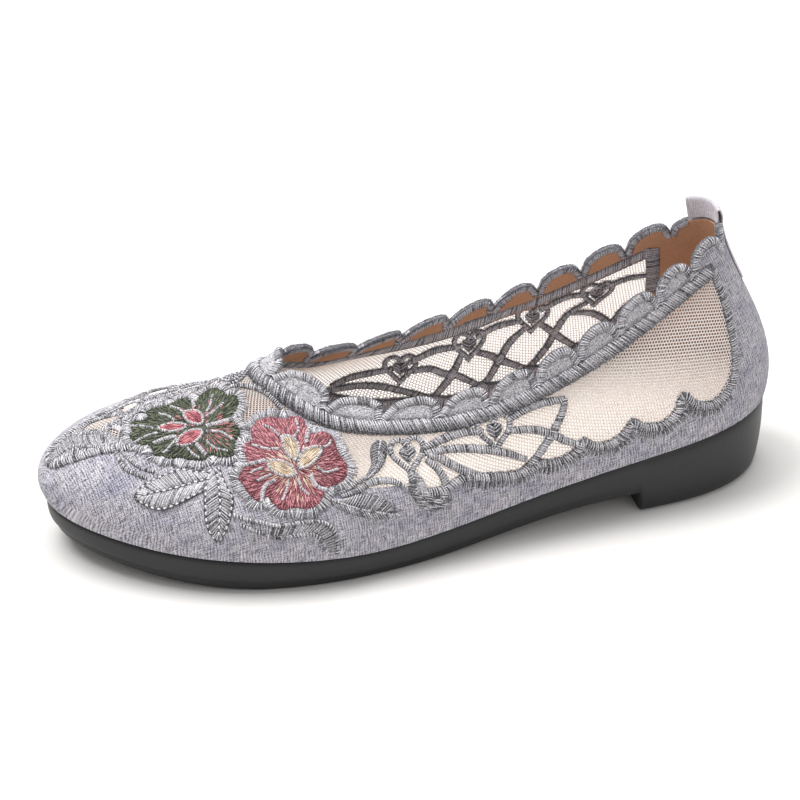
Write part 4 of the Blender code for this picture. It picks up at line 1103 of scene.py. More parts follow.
def buildCollar():
    work = newWork()
    middle = 0.5 * (collar["cordTop"] + collar["cordLow"])
    distance = np.linspace(collar["windowOuterEnd"] - 0.4, collar["windowInnerEnd"] + 2.0, 300)
    cord = collarAt(distance, np.full(len(distance), middle))
    # the cord's threads are painted lighter at the top and darker at the bottom: painted highlight and
    # painted shade of its round
    satin(
        work, cord, collar["cordTop"] - collar["cordLow"] + 0.2, collarStitch["cordRise"],
        collarStitch["pitch"], collarStitch["cordSlant"], ragged=0.3, depth=upper["wall"], back=1,
        shades=(0.4, 1.0), stations=7, padNumber=1, paintedLightAlong=(1.25, 0.3),
    )
    footHeight, footIn = collarStitch["footHeight"], collarStitch["footIn"]
    lines = []
    for a, b in scallops:
        share = np.linspace(0.03, 0.97, 30)
        height = scallopArch(share, collar["scallopRise"])
        edge = collarAt(a + (b - a) * share, height)
        foot = collarAt(np.array([a + footIn, b - footIn]), np.array([footHeight, footHeight]))
        line = sideways(edge, -0.5 * collar["scallopEdge"])
        lines.append(np.vstack([foot[:1], line[2:-2], foot[1:]]))
    for side, way, foot in (("outer", 1, valleys[0] - footIn), ("inner", -1, valleys[-1] + footIn)):
        distance, height = halfScallop(side, np.linspace(0.0, 0.9, 12))
        line = sideways(collarAt(distance, height)[::way], -0.5 * collar["scallopEdge"])[::way]
        lines.append(np.vstack([line, collarAt(np.array([foot]), np.array([footHeight]))])[::way])
    for line in lines:
        satin(
            work, line, collar["scallopEdge"], collarStitch["edgeRise"], collarStitch["pitch"],
            collarStitch["edgeSlant"], ragged=0.1, depth=upper["wall"], back=1, shades=(0.35, 1.0),
            padNumber=1,
        )
    # a thin line follows the arch inside each moon
    for a, b in scallops:
        share = np.linspace(0.16, 0.84, 9)
        roof = scallopArch(share, collar["scallopRise"]) - collar["scallopEdge"] - 0.9
        arc = collarAt(a + (b - a) * share, roof)
        addStrands(
            work, arc[:-1], arc[1:], width=0.5, rise=0.3, shade=rng.uniform(0.5, 1.0, len(arc) - 1),
            lift=0.1, stations=4,
        )
    # smooth patches in the moons of the outer side, with level threads over those at the throat
    for i in collarStitch["filledMoons"]:
        a, b = scallops[i]
        share = np.linspace(0.02, 0.98, 33)
        roof = scallopArch(share, collar["scallopRise"]) - collar["scallopEdge"] + 0.3
        base = np.full(len(share), collar["cordTop"] - 0.2)
        roof = np.maximum(roof, base + 0.1)
        distance = a + (b - a) * share
        outline = np.vstack([collarAt(distance, base), collarAt(distance[::-1], roof[::-1])])
        addGround(work, [(outline, True)], 1.6, high=0.14, low=0.2, shade=collarStitch["moonTone"], number=0)
        if i < collarStitch["firstThreaded"]:
            continue
        for height in np.arange(collar["cordTop"] + 0.1, roof.max(), 0.45):
            inside = share[roof > height]
            places = collarAt(a + (b - a) * np.linspace(inside[0], inside[-1], 5), np.full(5, height))
            addStrands(
                work, places[:-1], places[1:], width=0.5, rise=0.22,
                shade=rng.uniform(0.5, 0.75, len(places) - 1), lift=0.14,
            )
    return stitchPiece(work, "collarStitch", greyWork)


collarPiece = buildCollar()
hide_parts("collar_trim")

# Openwork on both sides of the window: border, bars and hearts
openwork = {
    "borderWidth": 3.0,
    "borderRise": 0.95,
    "barWidth": 2.9,
    "barRise": 0.8,
    "heartRing": 5.3,
    "heartRingWidth": 1.8,
    "heartCore": 2.5,
    "heartTall": 1.2,
    "rearBand": ((511.3, 93.0), (510.0, 73.0), (508.4, 55.0)),
    "rearBandWidth": 5.0,
    "pitch": threadPitch,
    "netDepth": 0.62,
}
outerBars = (
    ((152, 73), (142, 78), (134, 78), (126, 74)),
    ((152, 69), (140, 68), (131, 64), (122, 57), (114.5, 48.5), (108, 38)),
    ((149, 67), (144.5, 64), (137, 54.5), (129.5, 44), (124, 37)),
    ((116, 76), (109, 79), (102, 78.8), (92, 73.4)),
    ((116, 68), (108, 63), (102.7, 57.5), (97.5, 49), (94, 41), (88.5, 32)),
    ((92, 74), (93.5, 65), (97.5, 53), (101.5, 43), (106, 33.6), (111, 28)),
    ((155, 60), (152, 50), (148, 36), (142.5, 26.5), (138.5, 29), (138, 40), (142, 53), (149, 64)),
)
outerHearts = ((158, 69.5), (121, 71))
innerBars = (
    ((415, 58), (424, 67), (437, 64)),
    ((443, 68), (451, 71.6), (460, 69)),
    ((467, 74), (477.5, 78), (487, 72)),
    ((492, 72), (500.6, 72.8), (508, 69)),
    ((416, 48), (426, 47), (432, 39), (438, 32.5), (446, 16)),
    ((443, 54), (449.6, 42), (453, 33.6), (462, 17)),
    ((466, 62), (471.6, 45), (475, 34), (480, 21)),
    ((479, 58), (486.3, 50.3), (491.5, 36), (494, 24)),
    ((438.5, 56), (436, 36), (432.6, 24), (429, 14)),
    ((462, 61), (456, 50), (453, 36.6), (449.6, 22), (446, 15)),
    ((486, 64), (478, 58.4), (473, 45.7), (469, 31), (462, 16)),
    ((507, 52), (499, 45), (494, 33), (488, 17)),
    ((390, 30), (400, 36), (410, 34), (421, 24.6), (429, 16)),
    ((391, 36), (396.6, 48.5), (410, 54)),
)
innerHearts = ((413.0, 53), (440.6, 62), (464.0, 68), (489.5, 69))


def heartOffsets(size, count=40):
    turn = np.linspace(0.0, 2.0 * math.pi, count + 1)[:-1]
    tall = (13 * np.cos(turn) - 5 * np.cos(2 * turn) - 2 * np.cos(3 * turn) - np.cos(4 * turn)) / 16.0
    return np.stack([np.sin(turn) ** 3 * size, (tall * openwork["heartTall"] + 0.1) * size], axis=1)


def addHeart(work, centre):
    ring = motif(centre, heartOffsets(openwork["heartRing"]))
    satin(
        work, ring, openwork["heartRingWidth"], 0.8, openwork["pitch"], slant=0.5, ragged=0.1,
        depth=openwork["netDepth"], back=1, closed=True, padNumber=1,
    )
    core = heartOffsets(openwork["heartCore"])
    for sign, angle in ((1.0, 35.0), (-1.0, -35.0)):
        half = core[core[:, 0] * sign >= -1e-6]
        fillShape(work, centre, half, angle, pitch=0.5, rise=0.5, shades=(0.1, 0.7), lift=0.2)
        fillShape(
            work, centre, half, angle, pitch=0.5, rise=0.3, shades=(0.1, 0.8), number=1,
            depth=openwork["netDepth"],
        )
    inner = motif(centre, heartOffsets(openwork["heartCore"] * 0.5))
    addPadding(work, inner, openwork["heartCore"] * 0.42, 0.35, openwork["netDepth"], 1, True)


def buildOpenwork(border, bars, hearts):
    work = newWork()
    satin(
        work, border, openwork["borderWidth"], openwork["borderRise"], openwork["pitch"], slant=0.9,
        ragged=0.25, depth=upper["wall"], back=1, padNumber=1,
    )
    for rows in bars:
        line = evenly(flow(rows), 0.8)
        share = np.linspace(0.0, 1.0, len(evenly(line, openwork["pitch"])))
        width = openwork["barWidth"] * (0.72 + 0.28 * np.sin(math.pi * share))
        satin(
            work, line, width, openwork["barRise"], openwork["pitch"], slant=0.7, ragged=0.14,
            depth=openwork["netDepth"], back=1, padNumber=1,
        )
    for centre in hearts:
        addHeart(work, centre)
    return work


# Thick shape beside the front heart, filled from its outer edge
loopFill = (
    (153.4, 47.5), (151.9, 56.2), (147.8, 48.5), (144.3, 38.4), (141.0, 31.6), (137.8, 30.1), (134.4, 26.0),
    (137.2, 21.5), (141.3, 21.4), (145.8, 26.9), (150.6, 38.2),
)
loopCentre = (145, 38)
outerEdge, innerEdge = windowEdge("outer"), windowEdge("inner")
cordMiddle = 0.5 * (collar["cordTop"] + collar["cordLow"])
apex = collarAt(np.array([collar["windowOuterEnd"]]), np.array([cordMiddle]))
outerBorder = flow(outerEdge[outerEdge[:, 0] < 150.0])
outerBorder = np.vstack([flowUv(np.vstack([apex, outerBorder[:1]])), outerBorder[1:]])
outerWork = buildOpenwork(outerBorder, outerBars, outerHearts)
fillShape(
    outerWork, loopCentre, flatten(loopCentre, pattern(loopFill)), angle=15.0, pitch=threadPitch, rise=0.7,
    shades=(0.2, 0.85), lift=0.35, longest=4.0,
)
innerWork = buildOpenwork(flow(np.vstack([innerEdge, outerEdge[::-1][:4]])), innerBars, innerHearts)
band = evenly(flow(openwork["rearBand"]), openwork["pitch"])
bandHalf = 0.5 * openwork["rearBandWidth"]
addStrands(
    innerWork, sideways(band, bandHalf), sideways(band, -bandHalf), width=0.6, rise=0.5,
    shade=streaks(len(band), 0.15, 0.8), number=1, lift=0.1, depth=upper["wall"], stations=6,
)
# stitches on the inner face below the inner window
hem = evenly(flow(innerEdge[(innerEdge[:, 0] < 500.0) & (innerEdge[:, 0] > 330.0)]), 0.5)
addStrands(
    innerWork, sideways(hem, -0.8), sideways(hem, 7.0), width=0.7, rise=0.35,
    shade=streaks(len(hem), 0.5, 1.0), number=1, lift=0.1, depth=upper["wall"], stations=6,
)
for work, name in ((outerWork, "openworkOuter"), (innerWork, "openworkInner")):
    piece = stitchPiece(work, name, greyWork)
    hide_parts("openwork_outer" if name == "openworkOuter" else "openwork_inner")

# Flowers: edge of the coloured petals, cords and lobes as pattern rows; tones are (direction, tone) by petal
flowers = {
    "flowerRed": {
        "node": "flower_red",
        "slot": "red_thread",
        "centre": (202, 60.7),
        "threads": ("redThread", "creamThread", "creamThread"),
        "tones": ((100, 0.66), (38, 0.66), (-8, 0.36), (-75, 0.62), (172, 0.40)),
        "flecks": 0.42,
        "edge": (
            (235.9, 75.6), (236.7, 79.9), (233.9, 82.9), (228.1, 84.5), (226.5, 87.6), (220.6, 88.0),
            (215.1, 84.7),
            (209.4, 82.4), (206.8, 85.1), (201.1, 84.0), (196.1, 80.0), (191.0, 73.7), (183.4, 66.2),
            (179.9, 58.4),
            (180.7, 52.2), (183.5, 50.7), (183.9, 45.9), (184.1, 38.3), (186.7, 35.3), (191.7, 36.0),
            (194.8, 33.8),
            (199.6, 37.8), (202.6, 41.5), (204.0, 37.8), (207.4, 39.8), (213.4, 45.5), (218.0, 49.5),
            (219.2, 52.9),
            (221.4, 58.7), (226.5, 63.1), (230.1, 66.1), (229.0, 69.6), (232.9, 72.4),
        ),
        "cords": (
            ((220.9, 75.6), (227.9, 77.9), (233.0, 77.6)),
            ((215.7, 70.0), (220.6, 67.9), (227.5, 67.5)),
            ((216.1, 77.6), (218.0, 82.6), (224.2, 86.4)),
            ((208.3, 76.5), (212.5, 81.9), (214.2, 86.0), (214.9, 88.0)),
            ((199.1, 75.7), (197.7, 77.9), (198.8, 80.6)),
            ((195.0, 63.6), (189.4, 59.7), (185.3, 62.3)),
            ((194.3, 57.9), (188.8, 50.6), (183.5, 47.9)),
            ((197.7, 54.5), (193.2, 48.3), (189.2, 44.8)),
            ((200.8, 53.0), (198.2, 46.7), (197.0, 40.1)),
            ((205.2, 51.9), (206.7, 47.7), (203.3, 38.0)),
            ((208.7, 54.9), (210.4, 51.4), (210.8, 49.3)),
            ((213.7, 58.0), (215.4, 55.4), (215.4, 53.0)),
            ((216.1, 62.0), (218.6, 59.0), (221.4, 55.8)),
        ),
        "wideCords": (3, 6, 9, 12),
        "lobes": (
            ((205.6, 65.6), (214.0, 73.6), (221.0, 76.5), 4.6),
            ((200.7, 60.8), (201.7, 69.4), (199.7, 75.6), 4.8),
            ((199.7, 57.1), (206.9, 59.3), (215.1, 61.4), 4.8),
        ),
    },
    "flowerGreen": {
        "node": "flower_green",
        "slot": "green_thread",
        "centre": (249.2, 66.9),
        "threads": ("greenThread", "pinkThread", "pinkThread"),
        "tones": ((130, 0.62), (60, 0.45), (8, 0.55), (-48, 0.45), (-130, 0.6)),
        "flecks": 0.35,
        "edge": (
            (263.4, 51.6), (266.0, 53.9), (270.4, 55.0), (272.6, 56.7), (270.1, 59.0), (271.5, 61.0),
            (275.1, 60.8),
            (277.4, 62.9), (275.8, 65.7), (275.0, 68.6), (276.6, 70.4), (275.4, 72.8), (269.8, 73.8),
            (267.4, 74.4),
            (272.3, 76.7), (274.6, 78.7), (273.7, 81.3), (266.8, 82.6), (261.6, 82.2), (258.5, 83.9),
            (252.8, 82.0),
            (248.9, 78.4), (246.4, 74.9), (241.8, 73.7), (236.2, 71.0), (234.3, 68.2), (232.5, 65.3),
            (228.9, 62.3),
            (227.7, 59.1), (230.4, 56.8), (234.2, 56.6), (233.6, 53.0), (237.3, 51.3), (240.8, 50.9),
            (243.2, 48.9),
            (245.9, 48.9), (248.4, 48.2), (251.3, 50.5), (254.3, 51.6), (255.7, 50.2), (259.2, 50.4),
        ),
        "cords": (
            ((256.0, 72.4), (260.3, 76.0), (267.0, 79.4)),
            ((254.3, 70.9), (255.2, 74.9), (257.5, 79.0)),
            ((249.1, 68.0), (247.0, 71.7), (244.6, 77.4)),
            ((246.1, 65.8), (241.9, 67.8), (234.6, 66.6)),
            ((241.7, 62.1), (236.1, 60.3), (231.3, 61.0)),
            ((242.9, 59.4), (239.3, 57.6), (235.3, 55.9)),
            ((243.2, 56.3), (239.6, 54.5), (236.0, 53.6)),
            ((250.0, 58.2), (247.5, 52.8), (247.0, 50.2)),
            ((251.4, 59.3), (253.2, 56.2), (253.6, 53.0)),
            ((258.0, 57.7), (258.9, 54.6), (258.5, 50.3)),
            ((261.5, 58.5), (266.0, 57.1), (269.2, 54.8)),
            ((260.5, 64.7), (265.9, 65.0), (269.7, 63.7)),
            ((263.7, 68.9), (268.3, 68.8), (272.0, 67.6)),
            ((263.3, 72.3), (267.1, 73.2), (272.6, 74.4)),
        ),
        "wideCords": (2, 5, 8, 13),
        "lobes": (
            ((251.2, 68.1), (257.7, 69.2), (263.0, 68.8), 4.8),
            ((253.9, 64.7), (257.2, 61.9), (260.4, 59.2), 3.2),
            ((247.4, 65.4), (247.4, 60.7), (247.1, 55.9), 4.8),
        ),
    },
}
flowerSizes = {
    "border": 3.0,
    "borderRise": 0.6,
    "cord": 1.05,
    "wideCord": 1.7,
    "base": 0.3,
    "shell": 1.15,
    "reach": 24.0,
    "threadGap": 0.5,
    "groundGrain": 2.2,
}


def polar(reach, turn):
    angle = np.radians(turn)
    return np.stack([reach * np.cos(angle), reach * np.sin(angle)], axis=1)


# A lobe's outline: its middle line widened to a point at both ends
def lobeEdge(lobe, count=14):
    line = evenly(flow(lobe[:3]), 0.5)
    line = line[np.linspace(0, len(line) - 1, count).round().astype(int)]
    swell = 0.5 * lobe[3] * np.sin(math.pi * np.linspace(0.0, 1.0, count)) ** 0.75
    return np.vstack([sideways(line, swell), sideways(line, -swell)[::-1][1:-1]])


def collarZone():
    distance = np.linspace(1.0, collarLength - 1.0, 160)
    low = collarAt(distance, np.full(160, collar["cordLow"] - 0.35))
    return np.vstack([low, collarAt(distance[::-1], np.full(160, 4.0))])


def clearOf(zone, start, end):
    return ~within(zone, start) & ~within(zone, end) & ~within(zone, 0.5 * (start + end))


# Short threads that fan from the middle and stop at the petals' edge
def petalThreads(work, flower, edge, lobes, zone):
    centre = flower["centre"]
    flat = flatten(centre, edge)
    begin, finish, tone, kind = [], [], [], []
    directions = np.array([p[0] for p in flower["tones"]], float)
    petalTone = np.array([p[1] for p in flower["tones"]], float)
    for shell in np.arange(1.0, flowerSizes["reach"], flowerSizes["shell"]):
        turns = np.degrees(np.arange(0.0, 2.0 * math.pi, flowerSizes["threadGap"] / shell))
        count = len(turns)
        turns = turns + rng.uniform(-1.0, 1.0, count)
        near = shell + rng.uniform(-0.6, 0.6, count)
        far = near + rng.uniform(1.5, 2.6, count)
        petal = np.abs((turns[:, None] - directions[None] + 180.0) % 360.0 - 180.0).argmin(axis=1)
        begin.append(polar(near, turns))
        finish.append(polar(far, turns + rng.uniform(-2.5, 2.5, count)))
        tone.append(petalTone[petal] + rng.uniform(-0.4, 0.5, count))
        kind.append(rng.uniform(0.0, 1.0, count) < flower["flecks"] * np.clip(1.6 - near / 6.5, 0.0, 1.0))
    begin, finish = np.vstack(begin), np.vstack(finish)
    tone, kind = np.concatenate(tone), np.concatenate(kind)
    for share in (0.75, 0.6, 0.4):
        over = ~within(flat, finish)
        finish[over] = begin[over] + (finish[over] - begin[over]) * share
    keep = within(flat, begin) & within(flat, finish)
    for lobe in lobes:
        shape = flatten(centre, lobe)
        keep &= ~within(shape, begin) | ~within(shape, finish)
    start, end = motif(centre, begin[keep]), motif(centre, finish[keep])
    free = clearOf(zone, start, end)
    start, end = start[free], end[free]
    tone, kind = np.clip(tone[keep][free], 0.03, 1.0), kind[keep][free]
    for mask, number in ((~kind, 2), (kind, 3)):
        count = mask.sum()
        addStrands(
            work, start[mask], end[mask], rng.uniform(0.34, 0.54, count), rng.uniform(0.15, 0.3, count),
            tone[mask], number, lift=flowerSizes["base"] + rng.uniform(0.05, 0.25, count), stations=4,
        )


def buildFlower(name, zone):
    flower = flowers[name]
    work = newWork()
    edge = flow(flower["edge"], 0.9, True)
    lobes = [lobeEdge(lobe) for lobe in flower["lobes"]]
    petalThreads(work, flower, edge, lobes, zone)
    for lobe, shape in zip(flower["lobes"], lobes):
        flat = flatten(flower["centre"], shape)
        way = flatten(flower["centre"], pattern([lobe[0], lobe[2]]))
        angle = math.degrees(math.atan2(way[1, 1] - way[0, 1], way[1, 0] - way[0, 0]))
        fillShape(
            work, flower["centre"], flat, angle, pitch=0.5, rise=0.25, shades=(0.3, 1.0), number=4, lift=0.6,
            longest=2.6,
        )
        satin(
            work, evenly(shape, 0.5, True), width=1.15, rise=1.05, slant=0.5, ragged=0.08, depth=0.1,
            closed=True, shades=(0.6, 1.0), padNumber=1,
        )
    for i, rows in enumerate(flower["cords"]):
        width = flowerSizes["wideCord"] if i in flower["wideCords"] else flowerSizes["cord"]
        satin(work, flow(rows, 0.8), width, rise=0.95, ragged=0.08, depth=0.1, shades=(0.6, 1.0), padNumber=1)
    flat = flatten(flower["centre"], edge)
    after = np.roll(flat, -1, axis=0)
    outside = -1.0 if (flat[:, 0] * after[:, 1] - after[:, 0] * flat[:, 1]).sum() > 0 else 1.0
    rim = evenly(edge, threadPitch, True)
    count = len(rim)
    outer = sideways(rim, outside * (flowerSizes["border"] + rng.uniform(-0.8, 0.7, count)), True)
    inner = sideways(rim, -outside * rng.uniform(-0.35, 0.5, count), True)
    inner = np.roll(inner, 1, axis=0)
    free = clearOf(zone, outer, inner)
    n = free.sum()
    addStrands(
        work, outer[free], inner[free], rng.uniform(0.36, 0.54, n),
        flowerSizes["borderRise"] * rng.uniform(0.8, 1.2, n), streaks(n, 0.42, 1.0), lift=0.25, stations=6,
    )
    grown = sideways(evenly(edge, 1.0, True), outside * (flowerSizes["border"] - 1.0), True)
    base, grain = flowerSizes["base"], flowerSizes["groundGrain"]
    addGround(work, [(grown, True), (zone, False)], grain, high=base, low=0.62, shade=0.3, number=1)
    # a dark sheet in the petals' colour under their threads: painted shade in the gaps between the threads
    petals = [(evenly(edge, 1.0, True), True), (zone, False)]
    addGround(work, petals, grain, high=base + 0.05, low=0.3, shade=0.06, number=2)
    piece = stitchPiece(work, name, greyWork + [finishes[k] for k in flower["threads"]])
    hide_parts(flower["node"])


for name in flowers:
    buildFlower(name, collarZone())

# Leaves: middle line and the two edges from base to tip; knots mark the lines of the beaded ones
leaves = {
    "leafFront": {
        "node": "leaf_front",
        "middle": ((225.3, 45.8), (228.5, 41.4), (231.0, 37.4), (233.7, 33.7), (236.5, 31.0), (239.8, 26.1)),
        "edges": (
            (
                (227.8, 49.3), (231.1, 46.7), (236.2, 45.9), (238.4, 41.4), (240.1, 35.8),
                (240.6, 31.0), (240.1, 26.4),
            ),
            (
                (223.4, 40.5), (224.5, 36.3), (226.2, 31.9), (228.0, 27.5), (230.5, 24.2),
                (233.3, 23.3), (239.5, 25.6),
            ),
        ),
        "knots": True,
        "shades": (0.4, 1.0),
    },
    "leafLow": {
        "node": "leaf_low",
        "middle": ((228.0, 51.5), (221.6, 44.1), (215.8, 34.2), (213.1, 26.9), (211.2, 18.6), (210.5, 11.4)),
        "edges": (
            (
                (228.6, 50.3), (224.1, 41.1), (221.1, 35.0), (218.3, 28.7), (215.5, 20.8),
                (212.8, 14.6), (210.6, 11.1),
            ),
            ((227.5, 52.3), (218.6, 43.5), (213.0, 37.1), (210.1, 27.8), (209.2, 19.0), (210.2, 11.5)),
        ),
        "knots": True,
        "shades": (0.22, 0.9),
    },
    "leafSide": {
        "node": "leaf_side",
        "middle": ((180.2, 41.4), (174.8, 38.1), (169.1, 34.4), (163.6, 31.4), (158.1, 28.1), (153.9, 25.7)),
        "edges": (
            (
                (180.6, 42.4), (175.6, 42.3), (171.4, 45.2), (166.4, 44.1), (160.9, 39.9),
                (156.7, 33.3), (153.8, 25.9),
            ),
            ((179.8, 39.2), (173.8, 33.3), (166.5, 28.1), (160.7, 24.9), (156.2, 24.5), (153.9, 25.4)),
        ),
        "knots": False,
        "shades": (0.1, 0.85),
    },
    "budStitch": {
        "node": "bud",
        "middle": ((173.9, 81.0), (172.2, 74.0), (170.0, 67.0), (169.6, 60.0), (170.8, 55.5)),
        "edges": (
            ((176.0, 81.5), (177.2, 78.0), (175.9, 73.1), (172.7, 66.1), (171.9, 59.3), (172.1, 54.5)),
            ((173.0, 81.6), (171.0, 80.2), (168.5, 74.4), (167.0, 67.5), (167.4, 60.7), (170.4, 55.4)),
        ),
        "knots": False,
        "shades": (0.04, 0.55),
    },
}


def buildLeaf(name):
    leaf = leaves[name]
    work = newWork()
    middle = evenly(flow(leaf["middle"], 0.8), threadPitch)
    count = len(middle)
    lean = 5
    for edgeRows in leaf["edges"]:
        edge = spaced(flow(edgeRows, 0.8), count)
        start, end = middle[:-lean], edge[lean:]
        n = len(start)
        arch = np.sin(math.pi * np.linspace(0.03, 0.97, n)) ** 0.5
        addStrands(
            work, start, end, rng.uniform(0.36, 0.52, n), (0.3 + 0.5 * arch) * rng.uniform(0.85, 1.15, n),
            streaks(n, *leaf["shades"]), 0, lift=0.2, stations=6,
        )
        core = 0.5 * (middle + edge)
        width = np.linalg.norm(wallPoint(*edge.T) - wallPoint(*middle.T), axis=1)
        addPadding(work, core, 0.5 * width + 0.05, 0.4, 0.3, 1)
        if leaf["knots"]:
            addKnots(work, edge, pitch=2.0, size=0.85, shades=(0.85, 1.0))
    if leaf["knots"]:
        addKnots(work, middle[1:-1], pitch=2.0, size=0.85, shades=(0.85, 1.0), lift=0.6)
    else:
        satin(
            work, middle, width=0.7, rise=0.9, pitch=0.5, slant=0.5, ragged=0.05, depth=0.2,
            shades=(0.5, 1.0),
        )
    return stitchPiece(work, name, greyWork)


for name, leaf in leaves.items():
    piece = buildLeaf(name)
    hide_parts(leaf["node"])

# Scroll under the red flower: two corded lines with flat stitches between
scroll = {
    "high": (
        (209.0, 28.1), (204.4, 26.5), (199.6, 25.6), (193.8, 24.0), (189.1, 25.7), (184.3, 27.2),
        (179.5, 26.6),
        (176.0, 22.3), (174.0, 16.1), (173.2, 8.9), (173.4, 4.2),
    ),
    "low": (
        (205.5, 23.0), (201.7, 20.6), (196.8, 18.1), (193.0, 16.2), (188.2, 17.7), (184.3, 19.1),
        (180.5, 17.4),
        (177.8, 11.7), (176.6, 4.8),
    ),
    "width": 1.3,
}


def buildScroll():
    work = newWork()
    lines = [flow(scroll[k], 0.8) for k in ("high", "low")]
    count = len(evenly(lines[0], 0.5))
    high, low = (spaced(evenly(line, 0.3), count) for line in lines)
    addStrands(
        work, high[:-1], low[1:], rng.uniform(0.45, 0.65, count - 1), rise=0.25,
        shade=streaks(count - 1, 0.2, 0.75), lift=0.12,
    )
    for line in lines:
        satin(work, line, scroll["width"], rise=0.75, pitch=0.52, ragged=0.1, padNumber=1)
    return stitchPiece(work, "scrollStitch", greyWork)


scrollPiece = buildScroll()
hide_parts("scroll")

# Stems, tendrils and vines that run between the shapes: (rows, width)
vines = {
    "stemLow": (
        ((177.5, 44.0), (172.5, 47.2), (169.4, 51.7), (164.7, 53.0), (159.3, 51.1), (153.1, 44.3)), 2.4,
    ),
    "budStem": (((169.3, 57.5), (173.0, 54.5), (175.4, 49.9), (178.8, 45.3)), 1.5),
    "toeLeafLow": (
        ((273.6, 22.6), (273.6, 30.0), (273.4, 36.6), (269.4, 39.8), (264.9, 42.6), (260.0, 45.0)), 1.7,
    ),
    "toeLeafHigh": (
        ((274.9, 25.2), (280.2, 31.2), (282.0, 36.1), (277.3, 42.3), (273.8, 46.7), (274.0, 49.4)), 1.7,
    ),
    "tendril": (
        ((273.7, 46.7), (267.2, 46.7), (261.3, 44.9), (256.5, 42.4), (250.3, 38.7), (242.0, 37.0)), 1.7,
    ),
    "tendrilTwin": (((259.0, 45.6), (253.1, 43.2), (247.2, 41.2), (241.9, 40.8)), 1.3),
    "ridgeVine": (
        ((282.0, 33.0), (286.2, 37.0), (288.6, 41.8), (292.0, 45.0), (297.9, 49.0), (303.0, 54.0)), 2.0,
    ),
    "ridgeTwin": (((284.5, 37.0), (285.5, 42.0), (287.0, 47.5), (291.0, 52.0)), 1.3),
    "crossStem": (
        (
            (274.2, 49.2), (277.6, 53.3), (283.9, 56.5), (291.0, 58.5), (296.0, 61.0), (299.0, 66.0),
            (303.0, 71.0),
        ),
        1.9,
    ),
    "crossTwin": (
        ((274.3, 54.1), (278.0, 58.5), (281.4, 62.6), (282.9, 67.8), (284.6, 72.0), (285.0, 78.0)), 1.7,
    ),
    "ridgeHigh": (((292.0, 59.0), (290.0, 65.0), (288.0, 71.0), (286.0, 78.0)), 1.5),
    "twig": (
        ((268.0, 85.5), (263.4, 88.2), (255.8, 90.3), (248.8, 90.7), (242.0, 89.7), (234.8, 88.0)), 2.1,
    ),
    "innerTwig": (((318.0, 62.0), (305.0, 70.0), (295.0, 76.0), (288.0, 80.0)), 1.6),
    "innerStemLow": (((357.0, 40.5), (350.0, 50.0), (338.0, 57.0), (322.0, 60.0), (304.0, 60.0)), 2.2),
    "innerStemHigh": (
        ((373.0, 34.5), (367.0, 49.0), (354.0, 61.0), (336.0, 70.0), (316.0, 74.0), (301.0, 74.0)), 2.2,
    ),
}
vinePitch = 0.38
# Stitched ground at the toe, open over the net where the patches are
toeGround = {
    "centre": (281, 54),
    "outline": (
        (250, 52.5), (257, 49.5), (263, 43), (267, 34), (271, 26), (275, 23), (279, 26), (283, 33),
        (287, 41.5),
        (294, 48), (301, 49), (305, 58), (305, 68), (299, 78), (288, 81), (281, 77), (279, 70),
        (280.5, 63), (276, 57),
        (270, 53.5), (263, 50.5), (256, 50.5),
    ),
    "patches": (
        (
            (282, 40.9), (284.6, 41.7), (285.8, 45), (284.5, 49.2), (283.6, 52.1), (280.5, 53.1),
            (278, 48.7), (276.4, 46.7),
        ),
        (
            (272.4, 48.5), (273.6, 50), (271.1, 51.1), (268.2, 51.2), (265.8, 49.8), (265.8, 48.8),
            (268.6, 48.8),
        ),
        ((271.7, 44.1), (271.6, 45.3), (269.9, 46.2), (268.4, 45.3), (269.6, 44.3)),
        (
            (290.5, 51.1), (293.5, 51.7), (295, 54.3), (292.8, 56.6), (288.2, 57.3), (284.4, 56),
            (284.1, 54.3),
        ),
        (
            (293.1, 59.6), (300, 58.1), (302.2, 61.1), (297.3, 66.2), (290.9, 67.7), (288.4, 65.8),
            (290, 62.4),
        ),
        ((285.8, 60.9), (283.6, 64.6), (280.9, 67.8), (278.6, 68.6), (278.8, 66.1), (280.3, 63.2)),
        ((302.2, 65.2), (303.5, 67.8), (299, 73), (291, 77.5), (288.7, 74.6), (290.7, 70.7)),
    ),
    "angle": 65.0,
}
rose = {"centre": (284.0, 87.5), "rings": (1.3, 2.7, 4.1, 5.5), "from": -150.0, "to": 130.0, "width": 1.1}


